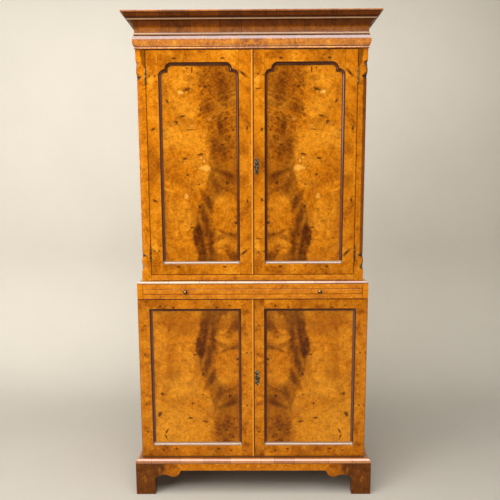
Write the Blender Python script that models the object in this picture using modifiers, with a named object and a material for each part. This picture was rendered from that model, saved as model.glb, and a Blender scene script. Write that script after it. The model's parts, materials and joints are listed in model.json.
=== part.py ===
"""Two-stage burr veneered bar cabinet: moulded cornice, canted pilasters, four panelled doors,
a pull-out slide at the waist and a bracket base. Metres, +Z up, front towards -Y.
The origin is on the floor, under the middle of the cabinet's box."""

import math

import bmesh
import bpy
from mathutils import Matrix, Vector

# Plan
LOWER_WIDTH = 0.914
LOWER_DEPTH = 0.440
STAGE_STEP = 0.018
PLINTH_PROJECTION = 0.024

# Heights of the stages, from the floor up
BASE_HEIGHT = 0.132
SILL_HEIGHT = 0.019
LOWER_DOOR_HEIGHT = 0.661
DUST_BOARD_HEIGHT = 0.0195
SLIDE_OPENING = 0.0205
LOWER_TOP_HEIGHT = 0.0205
WAIST_MOULDING_HEIGHT = 0.0105
UPPER_FLOOR_RISE = 0.0335
UPPER_DOOR_HEIGHT = 0.859
FRIEZE_HEIGHT = 0.050
CORNICE_HEIGHT = 0.079

# Boards
LOWER_SIDE = 0.022
UPPER_SIDE = 0.020
UPPER_FLOOR = 0.022
UPPER_CEILING = 0.020
BACK_BOARD = 0.010
BASE_BOARD = 0.032
COVER_BOARD = 0.012
COVER_REBATE = 0.012
MOULDING_BACKING = 0.020

# Bracket feet: distances in from the outer edge of the base, and heights
FOOT_WIDTH = 0.0785
FOOT_LEG = 0.066
SPUR_PEAK = (0.119, 0.086)
SPUR_LOBE = (0.153, 0.076)
SPUR_SHOULDER = (0.180, 0.098)
SPUR_END = 0.184
APRON_UNDERSIDE = 0.1035
REAR_FOOT_WIDTH = 0.085
REAR_RAIL_UNDERSIDE = 0.090
REAR_BRACKET = 0.040

# Pilasters and their stopped chamfers; stop points are (distance from the block, depth of cut)
PILASTER_WIDTH = 0.0355
PILASTER_DEPTH = 0.040
CHAMFER_DEPTH = 0.012
TOP_BLOCK = 0.036
BOTTOM_BLOCK = 0.046
STOP_HOLLOW = (0.015, 0.0115)
STOP_NOSE = (0.043, 0.0035)
STOP_THROAT = (0.062, 0.013)
STOP_NOTCH = (0.070, 0.0155)

# Doors
DOOR_THICKNESS = 0.022
DOOR_GAP = 0.0015
MEETING_GAP = 0.002
MEETING_OFFSET = 0.005
FRAME_LIP = 0.010
PANEL_REBATE = 0.008
PANEL_THICKNESS = 0.009
UPPER_HINGE_STILE = 0.0470
UPPER_MEETING_STILE = 0.048
UPPER_TOP_RAIL = 0.045
UPPER_BOTTOM_RAIL = 0.042
LOWER_HINGE_STILE = 0.046
LOWER_MEETING_STILE = 0.045
LOWER_TOP_RAIL = 0.038
LOWER_BOTTOM_RAIL = 0.047
CUSP_RADIUS = 0.025
PANEL_MOULDING_WIDTH = 0.0125
PANEL_MOULDING_SINK = 0.0008

# Slide
SLIDE_DEPTH = 0.360
SLIDE_FRONT = 0.022
SLIDE_SIDE_CLEARANCE = 0.0008
SLIDE_TOP_CLEARANCE = 0.0008
SLIDE_EDGE_ROUND = 0.0015
KNOB_SPACING = 0.530
KNOB_RADIUS = 0.0085
KNOB_NECK_RADIUS = 0.0042
KNOB_LENGTH = 0.018

# Shelves
LOWER_SHELF = 0.018
LOWER_SHELF_RISE = 0.320
LOWER_SHELF_INSET = 0.030
GLASS_SHELF = 0.006
GLASS_SHELF_RISES = (0.340, 0.596)
GLASS_SHELF_INSET = 0.020
SHELF_HOUSING = 0.005

# Butt hinges of the upper doors
HINGE_LENGTH = 0.060
HINGE_LEAF = 0.0016
HINGE_LEAF_WIDTH = 0.019
HINGE_STAND_OFF = 0.0015
KNUCKLE_RADIUS = 0.0032
PIN_RADIUS = 0.0013
HINGE_FROM_TOP = 0.097
HINGE_FROM_BOTTOM = 0.083

# Pivots of the lower doors
PIVOT_EDGE = 0.005
PIVOT_PLATE = 0.002
PIVOT_PLATE_LENGTH = 0.045
PIVOT_PLATE_WIDTH = 0.007
PIVOT_RADIUS = 0.002
PIVOT_ENTRY = 0.0035

# Locks and escutcheons on the right-hand doors
LOCK_DEPTH = 0.026
LOCK_THICKNESS = 0.010
LOCK_HEIGHT = 0.056
LOCK_FROM_FRONT = 0.006
BOLT_LENGTH = 0.018
BOLT_THICKNESS = 0.0044
BOLT_HEIGHT = 0.0194
BOLT_TRAVEL = 0.0085
BOLT_POCKET_CLEARANCE = 0.0008
ESCUTCHEON_HEIGHT = 0.068
ESCUTCHEON_WIDTH = 0.021
ESCUTCHEON_THICKNESS = 0.0018
ESCUTCHEON_BACKSET = 0.0125
KEYHOLE_RADIUS = 0.0024
KEYHOLE_SLOT = (0.0018, 0.008)
UPPER_LOCK_RISE = 0.426
LOWER_LOCK_RISE = 0.338

# Clearances and facets
GAP = 0.0003
OVERCUT = 0.004
ARC_STEPS = 8
ROUND_SIDES = 12

# Levels worked out from the heights
Z_SILL = BASE_HEIGHT + SILL_HEIGHT
Z_LOWER_DOOR = Z_SILL + DOOR_GAP
Z_DUST_BOARD = Z_LOWER_DOOR + LOWER_DOOR_HEIGHT + DOOR_GAP
Z_SLIDE = Z_DUST_BOARD + DUST_BOARD_HEIGHT
Z_SLIDE_TOP = Z_SLIDE + SLIDE_OPENING
Z_WAIST = Z_SLIDE_TOP + LOWER_TOP_HEIGHT
Z_UPPER_FLOOR = Z_WAIST + UPPER_FLOOR_RISE
Z_UPPER_DOOR = Z_UPPER_FLOOR + DOOR_GAP
Z_FRIEZE = Z_UPPER_DOOR + UPPER_DOOR_HEIGHT + DOOR_GAP
Z_CORNICE = Z_FRIEZE + FRIEZE_HEIGHT
Z_TOP = Z_CORNICE + CORNICE_HEIGHT

# Planes worked out from the plan
UPPER_WIDTH = LOWER_WIDTH - 2 * STAGE_STEP
CORNICE_PROJECTION = STAGE_STEP + PLINTH_PROJECTION
Y_BACK = (LOWER_DEPTH + PLINTH_PROJECTION) / 2
Y_BACK_INNER = Y_BACK - BACK_BOARD - GAP
Y_LOWER_FRONT = Y_BACK - LOWER_DEPTH
Y_LOWER_CARCASE = Y_LOWER_FRONT + DOOR_THICKNESS + DOOR_GAP
Y_UPPER_FRONT = Y_LOWER_FRONT + STAGE_STEP
Y_UPPER_CARCASE = Y_UPPER_FRONT + DOOR_THICKNESS + DOOR_GAP
Y_BASE_FRONT = Y_LOWER_FRONT - PLINTH_PROJECTION
X_BASE = LOWER_WIDTH / 2 + PLINTH_PROJECTION
X_LOWER = LOWER_WIDTH / 2
X_LOWER_INNER = X_LOWER - LOWER_SIDE
X_UPPER = UPPER_WIDTH / 2
X_UPPER_INNER = X_UPPER - UPPER_SIDE
X_PILASTER = X_UPPER - PILASTER_WIDTH
X_HINGE = X_PILASTER - DOOR_GAP / 2
Y_HINGE = Y_UPPER_FRONT - HINGE_STAND_OFF
X_PIVOT = X_LOWER - PIVOT_EDGE
Y_PIVOT = Y_LOWER_FRONT + PIVOT_EDGE

# Frames for flat outlines: columns carry the outline's two axes and its thickness
FACING_FRONT = Matrix(((1, 0, 0, 0), (0, 0, -1, 0), (0, 1, 0, 0), (0, 0, 0, 1)))
FACING_SIDE = Matrix(((0, 0, 1, 0), (1, 0, 0, 0), (0, 1, 0, 0), (0, 0, 0, 1)))
FACING_UP = Matrix.Identity(4)

for stale in list(bpy.data.objects):
    bpy.data.objects.remove(stale, do_unlink=True)

PARTS = bpy.data.collections.new("bar_cabinet")
CUTTERS = bpy.data.collections.new("cutters")
bpy.context.scene.collection.children.link(PARTS)
bpy.context.scene.collection.children.link(CUTTERS)


def finish(name, colour, roughness, metallic=0.0):
    """A plain Principled material."""
    made = bpy.data.materials.new(name)
    made.use_nodes = True
    shader = made.node_tree.nodes["Principled BSDF"]
    shader.inputs["Base Color"].default_value = (*colour, 1.0)
    shader.inputs["Roughness"].default_value = roughness
    shader.inputs["Metallic"].default_value = metallic
    return made


BURR = finish("burr_veneer", (0.62, 0.27, 0.05), 0.22)
PANEL_BURR = finish("panel_burr", (0.58, 0.24, 0.04), 0.2)
DARK_WOOD = finish("dark_moulding_wood", (0.16, 0.05, 0.02), 0.3)
CARCASE_WOOD = finish("carcase_wood", (0.38, 0.2, 0.09), 0.55)
BRASS = finish("antique_brass", (0.5, 0.36, 0.16), 0.35, 1.0)
STEEL = finish("lock_steel", (0.45, 0.44, 0.42), 0.4, 1.0)
GLASS = finish("shelf_glass", (0.8, 0.9, 0.86), 0.05)


def add_object(name, mesh, material):
    """Puts a mesh into the cabinet's collection, or among the cutters when it has no material."""
    made = bpy.data.objects.new(name, mesh)
    if material is None:
        CUTTERS.objects.link(made)
        made.hide_render = True
        made.display_type = "WIRE"
    else:
        PARTS.objects.link(made)
        mesh.materials.append(material)
    return made


def mesh_from(bm, name):
    """Closes a bmesh into a mesh with its faces pointing out."""
    bmesh.ops.recalc_face_normals(bm, faces=bm.faces)
    mesh = bpy.data.meshes.new(name)
    bm.to_mesh(mesh)
    bm.free()
    return mesh


def box(name, low, high, material=None):
    """A board between two corners."""
    low, high = Vector(low), Vector(high)
    place = Matrix.Translation((low + high) / 2) @ Matrix.Diagonal((*(high - low), 1.0))
    bm = bmesh.new()
    bmesh.ops.create_cube(bm, size=1.0, matrix=place)
    return add_object(name, mesh_from(bm, name), material)


def rod(name, radius, start, end, material=None):
    """A round bar between two points."""
    start, end = Vector(start), Vector(end)
    along = end - start
    turn = Vector((0, 0, 1)).rotation_difference(along).to_matrix().to_4x4()
    place = Matrix.Translation((start + end) / 2) @ turn
    bm = bmesh.new()
    bmesh.ops.create_cone(
        bm, cap_ends=True, segments=ROUND_SIDES, radius1=radius, radius2=radius,
        depth=along.length, matrix=place,
    )
    return add_object(name, mesh_from(bm, name), material)


def outline_board(name, loops, frame, near, far, material=None, smooth_loops=()):
    """A flat outline, with any holes, given thickness between two distances along its frame."""
    curve = bpy.data.curves.new(name, "CURVE")
    curve.dimensions = "2D"
    curve.fill_mode = "BOTH"
    curve.extrude = (far - near) / 2
    for loop in loops:
        spline = curve.splines.new("POLY")
        spline.points.add(len(loop) - 1)
        for point, (u, v) in zip(spline.points, loop):
            point.co = (u, v, 0.0, 1.0)
        spline.use_cyclic_u = True
    for loop in smooth_loops:
        spline = curve.splines.new("BEZIER")
        spline.resolution_u = 3
        spline.bezier_points.add(len(loop) - 1)
        for point, (u, v) in zip(spline.bezier_points, loop):
            point.co = (u, v, 0.0)
            point.handle_left_type = "AUTO"
            point.handle_right_type = "AUTO"
        spline.use_cyclic_u = True
    guide = bpy.data.objects.new(name + "_outline", curve)
    CUTTERS.objects.link(guide)
    evaluated = guide.evaluated_get(bpy.context.evaluated_depsgraph_get())
    flat = bpy.data.meshes.new_from_object(evaluated)
    bpy.data.objects.remove(guide)
    bm = bmesh.new()
    bm.from_mesh(flat)
    bpy.data.meshes.remove(flat)
    bmesh.ops.remove_doubles(bm, verts=bm.verts, dist=1e-6)
    bmesh.ops.transform(bm, matrix=frame @ Matrix.Translation((0, 0, (near + far) / 2)), verts=bm.verts)
    return add_object(name, mesh_from(bm, name), material)


def swept(name, rings, material, closed):
    """Joins rings of matching points into a solid; an open run of rings is capped at its ends."""
    bm = bmesh.new()
    rings = [[bm.verts.new(point) for point in ring] for ring in rings]
    pairs = list(zip(rings, rings[1:]))
    if closed:
        pairs.append((rings[-1], rings[0]))
    else:
        bm.faces.new(rings[0])
        bm.faces.new(rings[-1])
    for first, second in pairs:
        for i in range(len(first)):
            j = (i + 1) % len(first)
            bm.faces.new((first[i], first[j], second[j], second[i]))
    return add_object(name, mesh_from(bm, name), material)


def mitred_run(name, profile, half_width, y_front, material):
    """A moulding along the front and both sides, mitred at the front corners.
    Profile points are (projection from the carcase face, height)."""
    rings = []
    for side, y_of in ((-1, None), (-1, y_front), (1, y_front), (1, None)):
        rings.append([
            (side * (half_width + out), Y_BACK if y_of is None else y_of - out, z)
            for out, z in profile
        ])
    return swept(name, rings, material, closed=False)


def arc(centre, radii, start, end, steps=ARC_STEPS):
    """Points of an elliptical arc between two angles in degrees."""
    points = []
    for i in range(steps + 1):
        angle = math.radians(start + (end - start) * i / steps)
        points.append((
            centre[0] + radii[0] * math.cos(angle),
            centre[1] + radii[1] * math.sin(angle),
        ))
    return points


def ease(start, end, steps=ARC_STEPS):
    """Points of an S-curve between two points, flat at both ends; the start is left out."""
    points = []
    for i in range(1, steps + 1):
        along = i / steps
        share = (1 - math.cos(math.pi * along)) / 2
        points.append((
            start[0] + (end[0] - start[0]) * along,
            start[1] + (end[1] - start[1]) * share,
        ))
    return points


def inset_loop(loop, distance):
    """The loop, given anticlockwise, moved inwards with mitred corners."""
    moved = []
    count = len(loop)
    for i, here in enumerate(loop):
        here = Vector(here)
        before = (here - Vector(loop[i - 1])).normalized()
        after = (Vector(loop[(i + 1) % count]) - here).normalized()
        inward_before = Vector((-before.y, before.x))
        inward_after = Vector((-after.y, after.x))
        bisector = (inward_before + inward_after).normalized()
        moved.append(here + bisector * (distance / bisector.dot(inward_after)))
    return moved


def rectangle(u0, v0, u1, v1):
    """An anticlockwise rectangle."""
    return [(u0, v0), (u1, v0), (u1, v1), (u0, v1)]


def combine(target, tool, operation):
    """Cuts a tool out of a piece, or joins it on."""
    step = target.modifiers.new(tool.name, "BOOLEAN")
    step.operation = operation
    step.solver = "EXACT"
    step.object = tool


def cut(target, *tools):
    for tool in tools:
        combine(target, tool, "DIFFERENCE")


def join(target, *tools):
    for tool in tools:
        combine(target, tool, "UNION")


def pivot_empty(name, location):
    """An empty on a joint's axis, to carry the pieces that move with it."""
    made = bpy.data.objects.new(name, None)
    made.empty_display_size = 0.03
    made.location = location
    PARTS.objects.link(made)
    return made


def carry(empty, pieces):
    for piece in pieces:
        piece.parent = empty
        piece.matrix_parent_inverse = Matrix.Translation(empty.location).inverted()


# Bracket base

def spur_points():
    """The inner outline of one bracket foot, from the floor up to the apron."""
    peak_x, peak_z = SPUR_PEAK
    lobe_x, lobe_z = SPUR_LOBE
    shoulder_x, shoulder_z = SPUR_SHOULDER
    leg = arc((peak_x, FOOT_LEG), (peak_x - FOOT_WIDTH, peak_z - FOOT_LEG), 180, 90)
    lobe = ease(SPUR_PEAK, SPUR_LOBE)
    rise = arc((lobe_x, shoulder_z), (shoulder_x - lobe_x, shoulder_z - lobe_z), -90, 0)
    return [(FOOT_WIDTH, 0.0)] + leg + lobe + rise[1:] + [(SPUR_END, APRON_UNDERSIDE)]


def bracket_outline(length):
    """A base board with a shaped foot at each end, starting from u = 0."""
    near = spur_points()
    far = [(length - u, z) for u, z in reversed(near)]
    return [(0.0, 0.0)] + near + far + [(length, 0.0), (length, BASE_HEIGHT), (0.0, BASE_HEIGHT)]


def mitre_ends(piece, axis, ends, depth_of):
    """Draws the end faces of a board in along its axis by each point's depth from the show face."""
    for vertex in piece.data.vertices:
        for end, inward in ends:
            if abs(vertex.co[axis] - end) < 1e-5:
                vertex.co[axis] += inward * (depth_of(vertex.co) + GAP)


def bracket_base():
    length = 2 * X_BASE
    front = outline_board(
        "base_front", [[(u - X_BASE, z) for u, z in bracket_outline(length)]], FACING_FRONT,
        -Y_BASE_FRONT - BASE_BOARD, -Y_BASE_FRONT, BURR,
    )
    mitre_ends(front, 0, ((-X_BASE, 1), (X_BASE, -1)), lambda at: at.y - Y_BASE_FRONT)
    depth = Y_BACK - Y_BASE_FRONT
    side_loop = [(Y_BASE_FRONT + u, z) for u, z in bracket_outline(depth)]
    for name, side in (("base_left", -1), ("base_right", 1)):
        near, far = sorted((side * X_BASE, side * (X_BASE - BASE_BOARD)))
        board = outline_board(name, [side_loop], FACING_SIDE, near, far, BURR)
        mitre_ends(board, 1, ((Y_BASE_FRONT, 1),), lambda at: X_BASE - abs(at.x))
    half = X_BASE - BASE_BOARD - GAP
    rear = [
        (-half, 0.0), (-half + REAR_FOOT_WIDTH, 0.0),
        (-half + REAR_FOOT_WIDTH, REAR_RAIL_UNDERSIDE - REAR_BRACKET),
        (-half + REAR_FOOT_WIDTH + REAR_BRACKET, REAR_RAIL_UNDERSIDE),
    ]
    loop = rear + [(-x, z) for x, z in reversed(rear)] + [(half, BASE_HEIGHT), (-half, BASE_HEIGHT)]
    outline_board("base_rear", [loop], FACING_FRONT, -Y_BACK, -Y_BACK + BASE_BOARD, CARCASE_WOOD)


def base_moulding():
    bottom = BASE_HEIGHT + GAP
    fillet = 0.005
    quirk = 0.002
    top_flat = 0.004
    nose = arc(
        (top_flat, bottom + fillet), (PLINTH_PROJECTION - top_flat, Z_SILL - bottom - fillet), 0, 90
    )
    profile = [(GAP, bottom), (PLINTH_PROJECTION - quirk, bottom)]
    profile += [(PLINTH_PROJECTION, bottom + quirk)] + nose + [(GAP, Z_SILL)]
    mitred_run("base_moulding", profile, X_LOWER, Y_LOWER_FRONT, BURR)


# Lower stage

def lower_carcase():
    sill = box(
        "lower_bottom", (-X_LOWER, Y_LOWER_FRONT, BASE_HEIGHT + GAP), (X_LOWER, Y_BACK, Z_SILL), CARCASE_WOOD
    )
    side_loop = [
        (Y_LOWER_CARCASE, Z_SILL + GAP), (Y_BACK, Z_SILL + GAP), (Y_BACK, Z_WAIST),
        (Y_LOWER_FRONT, Z_WAIST), (Y_LOWER_FRONT, Z_DUST_BOARD), (Y_LOWER_CARCASE, Z_DUST_BOARD),
    ]
    shelf_z = Z_SILL + LOWER_SHELF_RISE
    shelf_front = Y_LOWER_CARCASE + LOWER_SHELF_INSET
    shelf_reach = X_LOWER_INNER + SHELF_HOUSING
    housing = box(
        "lower_shelf_housing",
        (-shelf_reach - GAP, shelf_front - GAP, shelf_z - GAP),
        (shelf_reach + GAP, Y_BACK_INNER + GAP, shelf_z + LOWER_SHELF + GAP),
    )
    for name, side in (("lower_side_left", -1), ("lower_side_right", 1)):
        near, far = sorted((side * X_LOWER, side * X_LOWER_INNER))
        board = outline_board(name, [side_loop], FACING_SIDE, near, far, BURR)
        cut(board, housing)
        head_hole = rod(
            name + "_pivot_hole", PIVOT_RADIUS + GAP,
            (side * X_PIVOT, Y_PIVOT, Z_DUST_BOARD - OVERCUT),
            (side * X_PIVOT, Y_PIVOT, Z_DUST_BOARD + PIVOT_ENTRY + GAP),
        )
        cut(board, head_hole)
        sill_hole = rod(
            name + "_sill_hole", PIVOT_RADIUS + GAP,
            (side * X_PIVOT, Y_PIVOT, Z_SILL + OVERCUT),
            (side * X_PIVOT, Y_PIVOT, Z_SILL - PIVOT_ENTRY - GAP),
        )
        cut(sill, sill_hole)
    reach = X_LOWER_INNER - GAP
    box(
        "lower_dust_board",
        (-reach, Y_LOWER_FRONT, Z_DUST_BOARD), (reach, Y_BACK_INNER, Z_SLIDE), CARCASE_WOOD,
    )
    box("lower_top", (-reach, Y_LOWER_FRONT, Z_SLIDE_TOP), (reach, Y_BACK_INNER, Z_WAIST), CARCASE_WOOD)
    box("lower_back", (-reach, Y_BACK - BACK_BOARD, Z_SILL + GAP), (reach, Y_BACK, Z_WAIST), CARCASE_WOOD)
    box(
        "lower_shelf",
        (-shelf_reach, shelf_front, shelf_z), (shelf_reach, Y_BACK_INNER, shelf_z + LOWER_SHELF),
        CARCASE_WOOD,
    )


def waist_moulding():
    bottom = Z_WAIST + GAP
    fillet = 0.002
    top_flat = 0.003
    nose = arc(
        (top_flat, bottom + fillet), (STAGE_STEP - top_flat, WAIST_MOULDING_HEIGHT - fillet), 0, 90
    )
    profile = [(GAP, bottom), (STAGE_STEP, bottom)] + nose + [(GAP, bottom + WAIST_MOULDING_HEIGHT)]
    mitred_run("waist_moulding", profile, X_UPPER, Y_UPPER_FRONT, BURR)


def knob(name, x, y, z):
    """A turned knob pointing forwards: a neck, a ball and a flattened tip."""
    ball = KNOB_LENGTH - KNOB_RADIUS
    flange = 0.0015
    profile = [(0.0, KNOB_LENGTH)]
    profile += arc((0.0, ball), (KNOB_RADIUS, KNOB_RADIUS), 75, -50, 2 * ARC_STEPS)
    profile += [(KNOB_NECK_RADIUS, flange * 2), (KNOB_NECK_RADIUS + flange, flange)]
    profile += [(KNOB_NECK_RADIUS + flange, 0.0), (0.0, 0.0)]
    mesh = bpy.data.meshes.new(name)
    points = [(radius, 0.0, along) for radius, along in profile]
    mesh.from_pydata(points, [(i, i + 1) for i in range(len(points) - 1)], [])
    made = add_object(name, mesh, BRASS)
    made.location = (x, y, z)
    made.rotation_euler = (math.radians(90), 0.0, 0.0)
    turn = made.modifiers.new("turned", "SCREW")
    turn.steps = 20
    turn.render_steps = 20
    turn.use_merge_vertices = True
    turn.merge_threshold = 0.00005
    return made


def slide():
    reach = X_LOWER_INNER - SLIDE_SIDE_CLEARANCE
    bottom = Z_SLIDE + GAP
    top = Z_SLIDE_TOP - SLIDE_TOP_CLEARANCE
    behind = Y_LOWER_FRONT + SLIDE_FRONT
    front = box("slide_front", (-reach, Y_LOWER_FRONT, bottom), (reach, behind, top), BURR)
    rounded = front.modifiers.new("edges", "BEVEL")
    rounded.width = SLIDE_EDGE_ROUND
    rounded.segments = 2
    board = box(
        "slide_board",
        (-reach, behind + GAP, bottom), (reach, Y_LOWER_FRONT + SLIDE_DEPTH, top), CARCASE_WOOD,
    )
    middle = (bottom + top) / 2
    pieces = [front, board]
    for name, side in (("slide_knob_left", -1), ("slide_knob_right", 1)):
        pieces.append(knob(name, side * KNOB_SPACING / 2, Y_LOWER_FRONT - GAP, middle))
    carry(pivot_empty("slide_axis", (0.0, Y_LOWER_FRONT, middle)), pieces)


# Upper stage

def stop_cut(z_block, direction):
    """One stopped end of the chamfer, from the square block towards the middle of the post."""
    points = [(-GAP, z_block)]
    start = (0.0, 0.0)
    for end in (STOP_HOLLOW, STOP_NOSE, STOP_THROAT):
        for along, depth in ease(start, end):
            points.append((depth, z_block + direction * along))
        start = end
    along, depth = STOP_NOTCH
    points += [(depth, z_block + direction * STOP_THROAT[0]), (depth, z_block + direction * along)]
    points.append((CHAMFER_DEPTH, z_block + direction * along))
    return points


def pilasters():
    bottom = Z_WAIST + GAP
    low_stop = stop_cut(Z_WAIST + BOTTOM_BLOCK, 1)
    high_stop = stop_cut(Z_FRIEZE - TOP_BLOCK, -1)
    clear = -2 * CHAMFER_DEPTH
    outline = [(clear, low_stop[0][1])] + low_stop + high_stop[::-1] + [(clear, high_stop[0][1])]
    made = []
    for name, side in (("pilaster_left", -1), ("pilaster_right", 1)):
        near, far = sorted((side * X_PILASTER, side * X_UPPER))
        post = box(
            name, (near, Y_UPPER_FRONT, bottom),
            (far, Y_UPPER_FRONT + PILASTER_DEPTH, Z_FRIEZE), BURR,
        )
        inward = Vector((-side, 1, 0)).normalized()
        across = inward.cross(Vector((0, 0, 1)))
        frame = Matrix.Identity(4)
        frame.col[0] = (*inward, 0.0)
        frame.col[1] = (0.0, 0.0, 1.0, 0.0)
        frame.col[2] = (*across, 0.0)
        frame.col[3] = (side * X_UPPER, Y_UPPER_FRONT, 0.0, 1.0)
        reach = PILASTER_WIDTH + PILASTER_DEPTH
        cut(post, outline_board(name + "_chamfer", [outline], frame, -reach, reach))
        made.append(post)
    return made


def notched_board(name, y_front, low, high):
    """A board that fills the carcase and passes between the pilasters at its front."""
    narrow = X_PILASTER - GAP
    wide = X_UPPER_INNER - GAP
    behind = Y_UPPER_FRONT + PILASTER_DEPTH + GAP
    right = [(narrow, y_front), (narrow, behind), (wide, behind), (wide, Y_BACK_INNER)]
    loop = right + [(-x, y) for x, y in reversed(right)]
    return outline_board(name, [loop], FACING_UP, low, high, CARCASE_WOOD)


def upper_carcase():
    bottom = Z_WAIST + GAP
    behind = Y_UPPER_FRONT + PILASTER_DEPTH + GAP
    shelf_reach = X_UPPER_INNER + SHELF_HOUSING
    shelf_front = behind + GLASS_SHELF_INSET
    housings = []
    for i, rise in enumerate(GLASS_SHELF_RISES):
        z = Z_UPPER_FLOOR + rise
        name = ("glass_shelf_lower", "glass_shelf_upper")[i]
        housings.append(box(
            name + "_housing",
            (-shelf_reach - GAP, shelf_front - GAP, z - GAP),
            (shelf_reach + GAP, Y_BACK_INNER + GAP, z + GLASS_SHELF + GAP),
        ))
        box(name, (-shelf_reach, shelf_front, z), (shelf_reach, Y_BACK_INNER, z + GLASS_SHELF), GLASS)
    for name, side in (("upper_side_left", -1), ("upper_side_right", 1)):
        near, far = sorted((side * X_UPPER, side * X_UPPER_INNER))
        cut(box(name, (near, behind, bottom), (far, Y_BACK, Z_FRIEZE), BURR), *housings)
    notched_board("upper_bottom", Y_UPPER_FRONT, Z_UPPER_FLOOR - UPPER_FLOOR, Z_UPPER_FLOOR)
    notched_board("upper_top", Y_UPPER_CARCASE, Z_FRIEZE - UPPER_CEILING, Z_FRIEZE)
    reach = X_UPPER_INNER - GAP
    box(
        "upper_back", (-reach, Y_BACK - BACK_BOARD, bottom),
        (reach, Y_BACK, Z_TOP - COVER_BOARD - GAP), CARCASE_WOOD,
    )


def frieze():
    """A cushion frieze over a small bead."""
    bottom = Z_FRIEZE + GAP
    bead = 0.008
    bead_out = 0.004
    face = 0.002
    bulge = 0.007
    cushion_low = bottom + bead + GAP
    cushion_half = (Z_CORNICE - cushion_low) / 2
    profile = [(-MOULDING_BACKING, bottom), (0.0, bottom)]
    profile += arc((0.0, bottom + bead / 2), (bead_out, bead / 2), -75, 75)
    profile += arc((face, cushion_low + cushion_half), (bulge, cushion_half), -80, 80, 2 * ARC_STEPS)
    profile += [(0.0, Z_CORNICE), (-MOULDING_BACKING, Z_CORNICE)]
    mitred_run("frieze", profile, X_UPPER, Y_UPPER_FRONT, BURR)


def cornice():
    """Bead, cavetto, fillet, ogee and top fillet, with a rebate behind for the dust cover."""
    bottom = Z_CORNICE + GAP
    bead = 0.009
    bead_out = 0.0045
    bead_in = 0.0005
    cavetto = (0.0205, 0.039)
    fillet = 0.0075
    fillet_out = 0.002
    top_fillet = 0.0075
    top_fillet_out = 0.0025
    quirk = 0.001
    hollow_low = bottom + bead + quirk
    hollow_in = bead_in + quirk / 2
    fillet_low = hollow_low + cavetto[1]
    fillet_face = hollow_in + cavetto[0] + fillet_out
    ogee_low = fillet_low + fillet
    ogee_in = fillet_face + fillet_out
    ogee_out = CORNICE_PROJECTION - top_fillet_out
    ogee_half = ((ogee_out - ogee_in) / 2, (Z_TOP - top_fillet - ogee_low) / 2)
    profile = [(-MOULDING_BACKING, bottom), (bead_in, bottom)]
    profile += arc((bead_in, bottom + bead / 2), (bead_out - bead_in, bead / 2), -70, 70)
    profile += arc((hollow_in + cavetto[0], hollow_low), cavetto, 180, 90)
    profile += [(fillet_face, fillet_low), (fillet_face, ogee_low)]
    profile += arc((ogee_in, ogee_low + ogee_half[1]), ogee_half, -90, 0)
    profile += arc((ogee_out, ogee_low + ogee_half[1]), ogee_half, 180, 90)[1:]
    profile += [(CORNICE_PROJECTION, Z_TOP - top_fillet), (CORNICE_PROJECTION, Z_TOP)]
    ledge = Z_TOP - COVER_BOARD - GAP
    rebate = COVER_REBATE - MOULDING_BACKING
    profile += [(rebate, Z_TOP), (rebate, ledge), (-MOULDING_BACKING, ledge)]
    mitred_run("cornice", profile, X_UPPER, Y_UPPER_FRONT, BURR)
    reach = X_UPPER + rebate - GAP
    box(
        "cornice_cover", (-reach, Y_UPPER_FRONT - rebate + GAP, Z_TOP - COVER_BOARD),
        (reach, Y_BACK, Z_TOP - GAP), CARCASE_WOOD,
    )


# Doors

def panel_opening(x0, z0, x1, z1, radius):
    """The sight opening of a door; with a radius, its top corners are two round steps and a cusp."""
    if not radius:
        return rectangle(x0, z0, x1, z1)
    low, mid = z1 - 2 * radius, z1 - radius
    round_step = (radius, radius)
    loop = [(x0, z0), (x1, z0)]
    loop += arc((x1 - radius, low), round_step, 0, 90)
    loop += arc((x1 - 2 * radius, mid), round_step, 0, 90)[1:]
    loop += arc((x0 + 2 * radius, mid), round_step, 90, 180)
    loop += arc((x0 + radius, low), round_step, 90, 180)[1:]
    return loop


def panel_moulding(name, opening, y_front):
    """An ovolo planted round the opening, against the frame and the panel."""
    seat = FRAME_LIP - GAP
    fillet = 0.003
    sight = 0.0015
    quirk = 0.0012
    deep = seat - quirk
    ovolo = arc(
        (fillet, deep),
        (PANEL_MOULDING_WIDTH - fillet - sight, deep - PANEL_MOULDING_SINK - quirk), -90, 0,
    )
    profile = [(GAP, seat), (GAP, PANEL_MOULDING_SINK), (fillet, PANEL_MOULDING_SINK)]
    profile += ovolo + [(PANEL_MOULDING_WIDTH, deep), (PANEL_MOULDING_WIDTH, seat)]
    loops = [(inset_loop(opening, inward), depth) for inward, depth in profile]
    rings = [
        [(loop[i].x, y_front + depth, loop[i].y) for loop, depth in loops]
        for i in range(len(opening))
    ]
    return swept(name, rings, DARK_WOOD, closed=True)


def keyhole_loop(x, z):
    """A round hole over a slot."""
    half, length = KEYHOLE_SLOT[0] / 2, KEYHOLE_SLOT[1]
    open_angle = math.degrees(math.asin(half / KEYHOLE_RADIUS))
    head = arc((x, z), (KEYHOLE_RADIUS, KEYHOLE_RADIUS), -90 + open_angle, 270 - open_angle, ROUND_SIDES)
    return head + [(x - half, z - length), (x + half, z - length)]


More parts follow.
